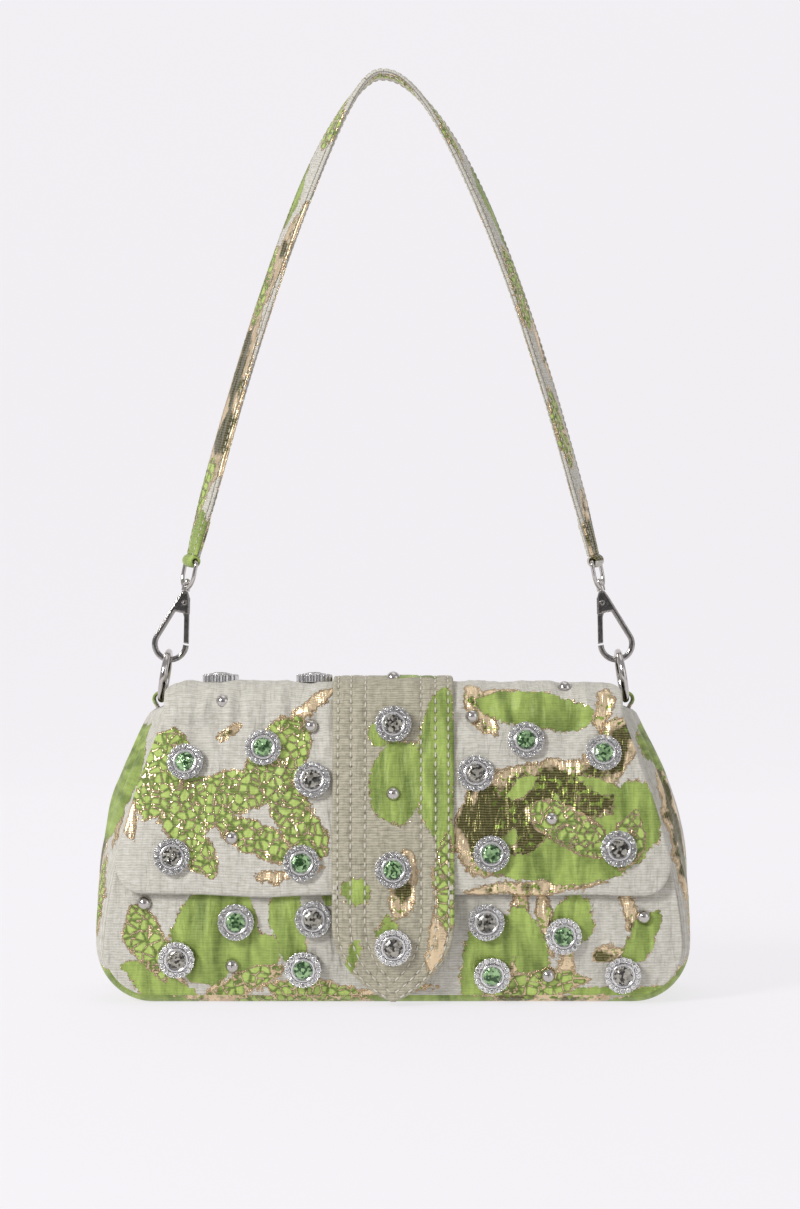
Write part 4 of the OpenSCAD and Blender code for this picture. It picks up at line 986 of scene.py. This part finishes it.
def make_panel(name, facing, pitch, cloth, seed):
    """The front (facing 1) or back (facing -1) panel, with rolled seams and soft ripples."""
    heights = between(BASE_DROP, PANEL_H, pitch)
    halves = seam_w(heights)
    x = across(halves, pitch)
    z = np.repeat(heights[:, None], x.shape[1], axis=1)
    grid = np.stack([x * facing, -facing * panel_depth(x, z), z], axis=-1)
    normals = grid_normals(grid)
    place = flat_cloth(x, z)
    edge = np.minimum(halves[:, None] - np.abs(x), np.minimum(z - BASE_DROP, PANEL_H - z))
    low = np.exp(-(((z - 26) / 20) ** 2))
    lift = 0.6 * cloth.pucker / MM * grain(place, (0.16, 0.035, 0), 3, seed) * (0.3 + low)
    lift += 0.6 * grain(place, (0.03, 0.045, 0), 2, seed + 1) - 0.1
    if facing > 0:
        studs = [stand(beside(a), b * FLAP_Z, panel_depth, SEAT, DOME_R) for a, b in PANEL_STUDS]
        lift += dented(grid, rosette_places()["bag"], ROSETTE_DENT_R, cloth.dent / MM)
        lift += dented(grid, studs, STUD_DENT_R, 0.7 * cloth.dent / MM)
    lift *= smooth(edge / 8)
    # A row of sewing in from the turned seam draws the cloth in, but not along the mouth
    lift -= 0.5 * np.exp(-(((edge - SEAM_IN) / SEAM_HALF_W) ** 2)) * (z < PANEL_H - SEAM_TOP_GAP)
    half_t = CLOTH_T / 2 * rolled(edge, 0.8)
    middle = grid - normals * (CLOTH_T / 2) + normals * lift[..., None]
    near = np.where(z < PANEL_H - SEAM_TOP_GAP, np.abs(edge - SEAM_IN) + 0.5, FAR)
    panel = cloth_shell(name + "_cloth", middle, normals, half_t, np.stack([x, z], axis=-1),
                        motif_fields(x, z, PANEL_MOTIFS) | {"seam": near}, material("brocade"))
    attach(panel, "bag")
    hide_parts(name)


def seam_line(count):
    """Points along the side and bottom seams from the left mouth to the right one, evenly spaced."""
    turn = SIDE_Z - CORNER_R * np.cos(np.linspace(0, math.pi / 2, 24))
    z = np.concatenate([turn, np.linspace(SIDE_Z, PANEL_H, 60)[1:]])
    right = np.stack([seam_w(z), z], axis=1)
    path = np.concatenate([right[::-1] * [-1, 1], right])
    length = np.concatenate([[0], np.cumsum(np.linalg.norm(np.diff(path, axis=0), axis=1))])
    at = np.linspace(0, length[-1], count)
    return np.stack([np.interp(at, length, path[:, i]) for i in (0, 1)], axis=1), at - length[-1] / 2


def make_gusset(cloth):
    path, along = seam_line(320)
    tangent = np.gradient(path, axis=0)
    out = np.stack([tangent[:, 1], -tangent[:, 0]], axis=1)
    out /= np.linalg.norm(out, axis=1, keepdims=True)
    z = path[:, 1]
    rise = smooth((z / PANEL_H - GUSSET_RISE) / GUSSET_RISE_SPAN)
    high = smooth((z / PANEL_H - GUSSET_HIGH) / GUSSET_HIGH_SPAN)
    half = BASE_HALF_D - CLOTH_T - SEAT
    t = between(-half, half, 1.6) / half
    flat_bow = 1 - np.clip((np.abs(t) - GUSSET_FLAT) / GUSSET_FLAT_SPAN, 0, 1) ** 2
    round_bow = 1 - np.abs(t) ** GUSSET_ROUND_POWER
    rows = []
    for i, (x, height) in enumerate(path):
        reach = mix(BASE_DROP, SIDE_SWELL, rise[i]) * mix(flat_bow, round_bow, rise[i])
        y = t * (seam_d(height) - CLOTH_T - SEAT)
        dip = high[i] * GUSSET_DIP * (1 - t * t)
        rows.append(np.stack([x + out[i, 0] * reach, y, height + out[i, 1] * reach - dip], axis=1))
    grid = np.array(rows).transpose(1, 0, 2)[::-1]
    normals = grid_normals(grid)
    v = np.repeat((t * half)[::-1][:, None], len(path), axis=1)
    u = np.repeat(along[None, :], len(t), axis=0)
    edge = np.minimum(half - np.abs(v), np.minimum(u - u.min(), u.max() - u))
    lift = 1.1 * cloth.pucker / MM * grain(flat_cloth(u, v), (0.02, 0.12, 0), 3, 7.0)
    lift = lift * smooth(edge / 6) * rise[None, :]
    half_t = CLOTH_T / 2 * rolled(edge, 0.9)
    middle = grid - normals * (CLOTH_T / 2) + normals * lift[..., None]
    gusset = cloth_shell("gusset_cloth", middle, normals, half_t, np.stack([u, v], axis=-1),
                         motif_fields(u, v, GUSSET_MOTIFS), material("brocade"))
    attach(gusset, "bag")
    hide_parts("gusset")


def make_lining():
    """The lining, a cup of thin cloth that stands a little inside the body."""
    low, turned_in, cols = CLOTH_T + BOARD_T + 3 * EASE, 2.4, 96
    angle = np.linspace(0, math.tau, cols, endpoint=False)
    c, s = np.cos(angle), np.sin(angle)
    heights = np.concatenate([low + np.array([0.0, 0.8, 1.6, 2.4, 5.0, 9.0]), np.linspace(18, PANEL_H - EASE, 30)])
    layers = []
    for inset in (0.0, LINING_T):
        rings = []
        for z in heights:
            tuck = inset + max(0, turned_in + low - z)
            a, b = float(seam_w(z)) - CLOTH_T - LINING_GAP - tuck, float(seam_d(z)) - CLOTH_T - EASE - tuck
            ring = [a * np.sign(c) * np.abs(c) ** (2 / 3), b * np.sign(s) * np.abs(s) ** (2 / 3)]
            rings.append(np.stack(ring + [np.full(cols, min(z + inset, PANEL_H - EASE))], axis=1))
        layers.append(np.array(rings))
    # The loose cloth waves gently, both faces alike
    wave = 0.3 * grain(layers[0], (0.06, 0.0, 0.02), 2, 9.0) * smooth((layers[0][..., 2] - low) / 30)
    for layer in layers:
        layer[..., 1] -= np.sign(layer[..., 1]) * (np.abs(wave) + 0.05)
    verts = np.concatenate([layer.reshape(-1, 3) for layer in layers])
    n, rows = len(heights) * cols, len(heights)
    top = (rows - 1) * cols
    faces = []
    for j in range(cols):
        e = (j + 1) % cols
        for i in range(rows - 1):
            a, b = i * cols + j, i * cols + e
            faces += [(a, b, b + cols, a + cols), (a + n, a + cols + n, b + cols + n, b + n)]
        faces.append((top + j, top + e, top + e + n, top + j + n))
    faces += [tuple(range(cols))[::-1], tuple(n + j for j in range(cols))]
    lining = new_object("body_lining", verts * MM, faces, material("lining"))
    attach(lining, "bag")
    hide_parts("lining")


def make_tab(name, side):
    """A strip of brocade folded round the foot of a ring, its two ends sewn in behind the gusset."""
    lean = math.radians(TAB_LEAN)
    down = np.array([math.sin(lean), -math.cos(lean)])
    outward = np.array([math.cos(lean), math.sin(lean)])
    centre = np.array(RING_FOOT)
    leg = centre + np.array([-TAB_SIDE, 0])
    turn = [centre + 3.3 * np.array([math.cos(a), math.sin(a)]) for a in np.radians(np.linspace(-35, 215, 22))]
    right = [leg + down * d + outward * 0.72 for d in np.linspace(TAB_L, 4.2, 8)]
    left = [leg + down * d - outward * 0.72 for d in np.linspace(4.2, TAB_L, 8)]
    path = np.array(right + turn + left)
    for _ in range(3):
        path[1:-1] = (path[:-2] + 2 * path[1:-1] + path[2:]) / 4
    y = between(-TAB_W / 2, TAB_W / 2, 0.8)
    grid = np.stack([np.repeat(path[:, :1], len(y), axis=1) * side, np.repeat(y[None, :], len(path), axis=0),
                     np.repeat(path[:, 1:], len(y), axis=1)], axis=-1)[:, ::side]
    normals = grid_normals(grid)
    along = np.repeat(np.linspace(0, TAB_STRIP, len(path))[:, None], len(y), axis=1)
    edge = np.minimum(TAB_W / 2 - np.abs(grid[..., 1]), np.minimum(along, TAB_STRIP - along))
    fields = motif_fields(grid[..., 1], along, TAB_MOTIFS)
    tab = cloth_shell(name + "_cloth", grid, normals, 0.62 * rolled(edge, 0.6),
                      np.stack([grid[..., 1], along], axis=-1), fields, material("strap"))
    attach(tab, "bag")
    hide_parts(name)


def arch(q):
    """Centre line of the strap, from -1 at the left eye to 1 at the right one, as (x, z)."""
    k = abs(q)
    soft = (math.hypot(k, ARCH_SOFT) - ARCH_SOFT) / (math.hypot(1, ARCH_SOFT) - ARCH_SOFT)
    rise = STRAP_TOP - STRAP_T / 2 - BAR_Z
    x = math.copysign(BAR_X * k, q) + STRAP_SHIFT * (1 - k) ** 3
    return np.array([x, STRAP_TOP - STRAP_T / 2 - rise * soft**ARCH_POWER])


def strap_frame(q):
    """Place of the strap's centre, and its directions across and out, at one place along it."""
    x, z = arch(q)
    ahead = arch(min(1, q + 0.01)) - arch(max(-1, q - 0.01))
    ahead /= np.linalg.norm(ahead)
    normal = np.array([-ahead[1], 0, ahead[0]])
    turn = math.radians((LEFT_TURN if q < 0 else RIGHT_TURN) * float(smooth(abs(q) / TURN_SHARE)))
    wide = np.array([0, math.cos(turn), 0]) + math.sin(turn) * normal
    thick = math.cos(turn) * normal - np.array([0, math.sin(turn), 0])
    return np.array([x, 0, z]), wide, thick


def make_strap(cloth, trim):
    """Two folded layers of brocade, stitched along both edges; the sewn loop round each swivel eye is made on its
    own.
    """
    end = 0.9925
    fine = np.linspace(-end, end, 1600)
    path = np.array([arch(q) for q in fine])
    length = np.concatenate([[0], np.cumsum(np.linalg.norm(np.diff(path, axis=0), axis=1))])
    at = np.linspace(0, length[-1], 420)
    spread = np.array([-1, -0.985, -0.94, -0.88, -0.8, -0.72, -0.5, -0.2, 0.2, 0.5, 0.72, 0.8, 0.88, 0.94, 0.985, 1])
    crown = np.sqrt(np.clip(1 - np.abs(spread) ** 8, 0, 1))
    verts, uv, near = [], [], []
    lines = {(s, face): [] for s in (-1, 1) for face in (-1, 1)}
    for step, q in zip(at, np.interp(at, length, fine)):
        centre, wide, thick = strap_frame(q)
        half = mix(STRAP_W, END_W, float(smooth((abs(q) - 0.91) / 0.09))) / 2
        lap = 0.8 * float(smooth(4 * (abs(q) - 0.94) / 0.06))
        from_row = half * (1 - np.abs(spread)) - STRAP_STITCH_IN
        seam = np.exp(-((from_row / 0.6) ** 2)) * cloth.seam_depth / MM
        puff = noise.noise(Vector((step * 0.06, 1.0, 0))) * 0.35
        top, low = (STRAP_T / 2 + puff) * crown - seam, (STRAP_T / 2 + lap + puff) * crown - seam
        verts += [centre + w * half * wide + h * thick for w, h in zip(spread, top)]
        verts += [centre + w * half * wide - h * thick for w, h in zip(spread[-2:0:-1], low[-2:0:-1])]
        along = step - length[-1] / 2
        gap = np.abs(from_row) + 0.3
        near += [*gap, *gap[-2:0:-1]]
        uv += [(w * half, along) for w in spread] + [(w * half + INNER_ACROSS, along) for w in spread[-2:0:-1]]
        for s in (-1, 1):
            spot = centre + s * (half - STRAP_STITCH_IN) * wide
            lines[s, 1].append((Vector(spot + thick * (STRAP_T / 2 - 0.25)), Vector(thick)))
            lines[s, -1].append((Vector(spot - thick * (STRAP_T / 2 + lap - 0.25)), Vector(-thick)))
    cols, rows = 2 * len(spread) - 2, len(at)
    faces = [(i * cols + j, i * cols + (j + 1) % cols, (i + 1) * cols + (j + 1) % cols, (i + 1) * cols + j)
             for i in range(rows - 1) for j in range(cols)]
    faces += [tuple(range(cols))[::-1], tuple((rows - 1) * cols + j for j in range(cols))]
    strap = new_object("strap_cloth", np.array(verts) * MM, faces, material("strap"))
    # The inner face has other motifs than the outer one, and shows more green
    uv = np.array(uv)
    inner = uv[:, 0] > 12
    fields = motif_fields(uv[:, 0] - INNER_ACROSS * inner, uv[:, 1] + INNER_ALONG * inner, STRAP_MOTIFS)
    fields["satin"] = fields["satin"] - 3.5 * inner
    fields["seam"] = np.array(near)
    add_layers(strap.data, uv, fields)
    outward(strap)
    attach(strap, "strap_arch")
    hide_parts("strap")
    sewn = sew("strap_stitches", list(lines.values()), 0.75 * trim.stitch_pitch, 0.75 * trim.stitch_length,
               0.7 * trim.thread)
    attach(sewn, "strap_arch")


def make_loop(name, side, turn):
    """The sewn loop at one end of the strap, round the bar of its swivel eye."""
    lean, spin = math.radians(HOOK_LEAN), math.radians(turn)
    axis = np.array([-side * math.sin(lean), 0, math.cos(lean)])
    away = np.array([side * math.cos(lean), 0, math.sin(lean)])
    bar = np.array([0, math.cos(spin), 0]) + math.sin(spin) * away
    flat = np.cross(bar, axis)
    centre = np.array([side * BAR_X, 0, BAR_Z])
    places = np.array([-1, -0.96, -0.85, -0.6, 0, 0.6, 0.85, 0.96, 1]) * END_W / 2
    radii = 2.95 - 1.0 * (np.abs(places) / (END_W / 2)) ** 8
    steps, verts, uv, faces = 36, [], [], []
    for i in range(steps):
        ray = math.cos(math.tau * i / steps) * flat + math.sin(math.tau * i / steps) * axis
        verts += [centre + bar * w + ray * r for w, r in zip(places, radii)]
        verts += [centre + bar * w + ray * 1.35 for w in places[::-1]]
        uv += [(w, side * 240 + 18.0 * i / steps) for w in places] + [(w, side * 240) for w in places[::-1]]
    cols = 2 * len(places)
    for i in range(steps):
        e = (i + 1) % steps
        faces += [(i * cols + j, e * cols + j, e * cols + (j + 1) % cols, i * cols + (j + 1) % cols)
                  for j in range(cols)]
    loop = new_object(name, np.array(verts) * MM, faces, material("strap"))
    uv = np.array(uv)
    add_layers(loop.data, uv, motif_fields(uv[:, 0], uv[:, 1], STRAP_MOTIFS))
    outward(loop)
    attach(loop, "strap_arch")


def outward(obj):
    """Turns the faces of a closed mesh outwards."""
    mesh = bmesh.new()
    mesh.from_mesh(obj.data)
    bmesh.ops.recalc_face_normals(mesh, faces=mesh.faces)
    mesh.to_mesh(obj.data)
    mesh.free()


# Metal and stones

STONE_NODES = {
    "bag": {"clear": ("panel_clear_stones",), "green": ("panel_green_stones",)},
    "lid_front": {
        "clear": ("flap_clear_stones", "band_clear_stone"), "green": ("flap_green_stones", "band_green_stone")},
    "lid_top": {"clear": ("top_stones",)},
    "tongue_end": {"clear": ("tongue_stone",)},
}
SETTING_NODES = {
    "bag": ("panel_settings",), "lid_front": ("flap_settings", "band_settings"),
    "lid_top": ("top_settings",), "tongue_end": ("tongue_setting",),
}


def make_rosettes(trim):
    """The metal, the rim of small stones and the large stones of each body's rosettes."""
    ring_r = ROSETTE_R - BEAD_R
    for body, places in rosette_places().items():
        metal = points_object(body + "_rosette_metal", [(p, n) for p, n, _ in places])
        run_tree(metal, tree_for(setting_tree), {
            "Cups": trim.cups, "Ring radius": ring_r * MM, "Cup radius": BEAD_R * MM, "Rim height": RIM_H * MM,
            "Bezel radius": BEZEL_R * MM, "Bezel height": BEZEL_H * MM, "Finish": material("silver")})
        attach(metal, body)
        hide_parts(*SETTING_NODES[body])
        rim = []
        for foot, out, _ in places:
            turn = out.to_track_quat("Z", "Y")
            for i in range(trim.cups):
                a = math.tau * i / trim.cups
                rim.append((foot + turn @ Vector((math.cos(a), math.sin(a), 0)) * ring_r, out))
        small = points_object(body + "_rim_stones", rim)
        run_tree(small, tree_for(stone_tree), {
            "Facets": 6, "Radius": 0.82 * MM, "Crown": 0.6 * MM, "Height": (RIM_H - 0.1) * MM,
            "Finish": material("rim")})
        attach(small, body)
        for colour, nodes in STONE_NODES[body].items():
            stones = points_object(f"{body}_{colour}_stones", [(p, n) for p, n, c in places if c == colour])
            run_tree(stones, tree_for(stone_tree), {
                "Facets": 8, "Radius": STONE_R * MM, "Crown": 1.2 * MM, "Height": STONE_LOW * MM,
                "Finish": material(colour)})
            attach(stones, body)
            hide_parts(*nodes)


NODE_FINISHES = {
    "nickel": ("left_ring", "right_ring", "left_hook", "right_hook", "left_gate", "right_gate",
               "left_hook_rivet", "right_hook_rivet", "left_swivel_eye", "right_swivel_eye",
               "snap_socket", "snap_washer", "snap_stud", "panel_studs", "flap_studs", "top_studs", "band_stud"),
    "board": ("base_board",),
}


def dress_nodes():
    """Finishes of the rigid pieces that are shown as the frame has them."""
    for key, names in NODE_FINISHES.items():
        for name in names:
            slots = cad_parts[name].data.materials
            slots.clear()
            slots.append(material(key))


# Stage


def soft_light(name, place, size, power):
    """A soft rectangular light that looks at the purse."""
    data = bpy.data.lights.new(name, "AREA")
    data.energy = power
    data.shape = "RECTANGLE"
    data.size, data.size_y = size
    obj = bpy.data.objects.new(name, data)
    bpy.context.scene.collection.objects.link(obj)
    obj.location = place
    obj.rotation_euler = (Vector((0, 0, 0.15)) - Vector(place)).to_track_quat("-Z", "Y").to_euler()


def make_stage(stage):
    # Matt paper: it scatters light evenly, and a light of its own, stronger towards the back, keeps it as
    # evenly pale as in the photograph
    paper, tree = new_material("Matt paper backdrop")
    place = add(tree, "ShaderNodeTexCoord", out=3)
    place = add(tree, "ShaderNodeSeparateXYZ", {0: place}, out=1)
    glow = add(tree, "ShaderNodeMapRange", {0: place, 1: -0.3, 2: 2.2, 3: stage.floor_glow, 4: stage.back_glow})
    surface = add(tree, "ShaderNodeBsdfPrincipled", {
        "Base Color": tuple(stage.paper), "Roughness": 0.9, "Emission Color": tuple(stage.glow),
        "Emission Strength": glow})
    add(tree, "ShaderNodeOutputMaterial", {"Surface": surface})
    profile = [(-3.0, 0.0), (1.2, 0.0)]
    profile += [(1.2 + math.sin(a), 1.0 - math.cos(a)) for a in np.linspace(0.1, math.pi / 2, 12)]
    profile += [(2.2, 4.0)]
    verts = [(x, y, z) for y, z in profile for x in (-4.0, 4.0)]
    faces = [(2 * i, 2 * i + 1, 2 * i + 3, 2 * i + 2) for i in range(len(profile) - 1)]
    new_object("paper_sweep", np.array(verts), faces, paper)
    soft_light("key_light", (-1.3, -1.3, 1.1), (0.5, 0.6), stage.key)
    soft_light("fill_light", (1.5, -1.1, 0.7), (0.9, 1.2), stage.fill)
    soft_light("top_light", (0.1, 0.1, 1.8), (1.4, 1.0), stage.top)
    # The room is dark behind the camera, which gives the metal its contrast
    world = bpy.data.worlds.new("studio")
    world.use_nodes = True
    tree = world.node_tree
    tree.nodes.clear()
    way = add(tree, "ShaderNodeTexCoord", out=0)
    level = add(tree, "ShaderNodeVectorMath", {0: way, 1: (-0.05, -1.0, 0.0)}, out=1, operation="DOT_PRODUCT")
    level = add(tree, "ShaderNodeMapRange", {0: level, 1: 0.985, 2: 0.88, 3: stage.room_dim, 4: stage.room_bright})
    room = add(tree, "ShaderNodeBackground", {"Color": rgb("#eceaee"), "Strength": level})
    add(tree, "ShaderNodeOutputWorld", {"Surface": room})
    bpy.context.scene.world = world
    # The photograph's view is level
    camera = bpy.data.cameras.new("photo_view")
    camera.sensor_fit = "VERTICAL"
    camera.angle_y = 2 * math.atan(VIEW_HIGH / 2 / VIEW_AWAY)
    obj = bpy.data.objects.new("photo_view", camera)
    bpy.context.scene.collection.objects.link(obj)
    obj.location = VIEW_PLACE
    obj.rotation_euler = (math.pi / 2, 0, 0)
    bpy.context.scene.camera = obj
    bpy.context.scene.view_settings.view_transform = "Standard"


# The add-on's properties, operators and panel


def colour_property(name, description, code):
    return bpy.props.FloatVectorProperty(
        name=name, description=description, subtype="COLOR", size=4, min=0.0, max=1.0, default=rgb(code))


def length_property(name, description, value):
    return bpy.props.FloatProperty(name=name, description=description, unit="LENGTH", precision=5, default=value)


def level_property(name, description, value, unit="NONE"):
    return bpy.props.FloatProperty(name=name, description=description, unit=unit, default=value)


class PurseCloth(bpy.types.PropertyGroup):
    """Sizes and colours of the brocade."""

    grid: length_property("Grid", "Distance between the points of the flap's cloth", 0.0014)
    pucker: length_property("Pucker", "Height of the puckers in the padded cloth", 0.0013)
    dent: length_property("Dent", "How far the padding sinks under a rosette", 0.0010)
    seam_depth: length_property("Seam depth", "How far a row of stitches draws the cloth in", 0.0005)
    # Ground and band colours: crests, and painted shade in the valleys of the ribs and crepe, with the weave's own
    # tone
    ground: colour_property("Ground", "Crests of the brocade's ground", "#d1cec4")
    shade: colour_property("Ground shade", "Valleys of the brocade's ground", "#afac9f")
    seam: colour_property("Seam", "Shadow in the holes and grooves of the sewing", "#5a4f3c")
    band: colour_property("Band", "Crests of the closure band's ground", "#bbb6a0")
    band_shade: colour_property("Band shade", "Valleys of the closure band's ground", "#8b8573")
    # Satin: painted light on the crests of its folds and painted shade in their valleys
    satin: colour_property("Satin", "Crests of the green satin", "#a8be60")
    satin_shade: colour_property("Satin shade", "Valleys of the green satin", "#586b24")
    # The petals' shade colour is a painted shadow beside their raised yarn
    petal: colour_property("Petal", "Crests of the crackled petals", "#b2c86a")
    petal_shade: colour_property("Petal shade", "Valleys of the crackled petals", "#51641e")
    yarn: colour_property("Metal yarn", "Lit metal yarn", "#f6e2c0")
    yarn_shade: colour_property("Metal yarn shade", "Unlit metal yarn", "#b08c58")
    # The foil's two colours are a painted highlight and painted shade over its olive tone
    foil_highlight: colour_property("Foil", "Crests of the foil weave", "#ead3ae")
    foil_olive_and_shade: colour_property("Foil shade", "Valleys of the foil weave", "#444812")


class PurseTrim(bpy.types.PropertyGroup):
    """Sizes and colours of the stitching and the rosettes."""

    stitch_pitch: length_property("Stitch pitch", "Distance from stitch to stitch", 0.004)
    stitch_length: length_property("Stitch length", "Length of thread that shows in a stitch", 0.003)
    thread: length_property("Thread", "Thickness of the thread", 0.0009)
    cups: bpy.props.IntProperty(name="Cups", description="Small stones round a rosette", default=16, min=6, max=32)
    # Stone colours: painted reflections of bright and dark facets
    clear: colour_property("Clear stone", "Bright facets of the smoky stones", "#aaa79c")
    clear_dark_reflection: colour_property("Clear stone shade", "Dark facets of the smoky stones", "#2b2924")
    green: colour_property("Green stone", "Bright facets of the green stones", "#9fc48e")
    green_dark_reflection: colour_property("Green stone shade", "Dark facets of the green stones", "#264a22")


class PurseStage(bpy.types.PropertyGroup):
    """Levels of the studio light."""

    paper: colour_property("Paper", "The backdrop's own colour", "#6f6d70")
    glow: colour_property("Paper light", "Colour of the backdrop's own light", "#f0eef1")
    floor_glow: level_property("Floor glow", "The backdrop's own light in front", 0.82)
    back_glow: level_property("Back glow", "The backdrop's own light behind", 0.87)
    key: level_property("Key light", "Power from the upper left", 28.0, "POWER")
    fill: level_property("Fill light", "Power from the right", 4.0, "POWER")
    top: level_property("Top light", "Power from above", 4.0, "POWER")
    room_dim: level_property("Dim room", "Level behind the camera", 0.06)
    room_bright: level_property("Bright room", "Level beside and behind", 0.5)


class PURSE_OT_flap(bpy.types.Operator):
    """Make the padded flap and its lining"""

    bl_idname = "purse.flap"
    bl_label = "Flap"

    def execute(self, context):
        make_flap(context.scene.purse_cloth)
        make_flap_lining()
        return {"FINISHED"}


class PURSE_OT_band(bpy.types.Operator):
    """Make the closure band, its pointed tongue and their stitching"""

    bl_idname = "purse.band"
    bl_label = "Closure band"

    def execute(self, context):
        make_band(context.scene.purse_cloth, context.scene.purse_trim)
        make_tongue(context.scene.purse_cloth, context.scene.purse_trim)
        return {"FINISHED"}


class PURSE_OT_body(bpy.types.Operator):
    """Make the front and back panels, the gusset, the lining and the ring tabs"""

    bl_idname = "purse.body"
    bl_label = "Body"

    def execute(self, context):
        cloth = context.scene.purse_cloth
        make_panel("front_panel", 1, 1.5, cloth, 11.0)
        make_panel("back_panel", -1, 1.8, cloth, 15.0)
        make_gusset(cloth)
        make_lining()
        make_tab("left_ring_tab", -1)
        make_tab("right_ring_tab", 1)
        return {"FINISHED"}


class PURSE_OT_strap(bpy.types.Operator):
    """Make the shoulder strap, its end loops and its stitching"""

    bl_idname = "purse.strap"
    bl_label = "Strap"

    def execute(self, context):
        make_strap(context.scene.purse_cloth, context.scene.purse_trim)
        make_loop("left_strap_loop", -1, LEFT_TURN)
        make_loop("right_strap_loop", 1, RIGHT_TURN)
        return {"FINISHED"}


class PURSE_OT_rosettes(bpy.types.Operator):
    """Make the stone rosettes"""

    bl_idname = "purse.rosettes"
    bl_label = "Rosettes"

    def execute(self, context):
        make_rosettes(context.scene.purse_trim)
        return {"FINISHED"}


class PURSE_OT_hardware(bpy.types.Operator):
    """Give the rings, hooks, studs, snap and base board their finishes"""

    bl_idname = "purse.hardware"
    bl_label = "Hardware"

    def execute(self, context):
        dress_nodes()
        return {"FINISHED"}


class PURSE_OT_stage(bpy.types.Operator):
    """Set the paper sweep, the lights and the photograph's camera"""

    bl_idname = "purse.stage"
    bl_label = "Stage"

    def execute(self, context):
        make_stage(context.scene.purse_stage)
        return {"FINISHED"}


STEPS = (PURSE_OT_flap, PURSE_OT_band, PURSE_OT_body, PURSE_OT_strap, PURSE_OT_rosettes, PURSE_OT_hardware,
         PURSE_OT_stage)


class PURSE_PT_panel(bpy.types.Panel):
    """Lists the purse's pieces and settings"""

    bl_idname = "PURSE_PT_panel"
    bl_label = "Purse"
    bl_space_type = "VIEW_3D"
    bl_region_type = "UI"
    bl_category = "Purse"

    def draw(self, context):
        for group in (context.scene.purse_cloth, context.scene.purse_trim, context.scene.purse_stage):
            box = self.layout.box()
            for key in group.__annotations__:
                box.prop(group, key)
        for step in STEPS:
            self.layout.operator(step.bl_idname)


GROUPS = {"purse_cloth": PurseCloth, "purse_trim": PurseTrim, "purse_stage": PurseStage}


def register():
    for cls in (*GROUPS.values(), *STEPS, PURSE_PT_panel):
        bpy.utils.register_class(cls)
    for name, cls in GROUPS.items():
        setattr(bpy.types.Scene, name, bpy.props.PointerProperty(type=cls))


def unregister():
    for name in GROUPS:
        delattr(bpy.types.Scene, name)
    for cls in (PURSE_PT_panel, *reversed(STEPS), *GROUPS.values()):
        bpy.utils.unregister_class(cls)


def main():
    register()
    bpy.ops.purse.flap()
    bpy.ops.purse.band()
    bpy.ops.purse.body()
    bpy.ops.purse.strap()
    bpy.ops.purse.rosettes()
    bpy.ops.purse.hardware()
    bpy.ops.purse.stage()


if __name__ == "__main__":
    main()
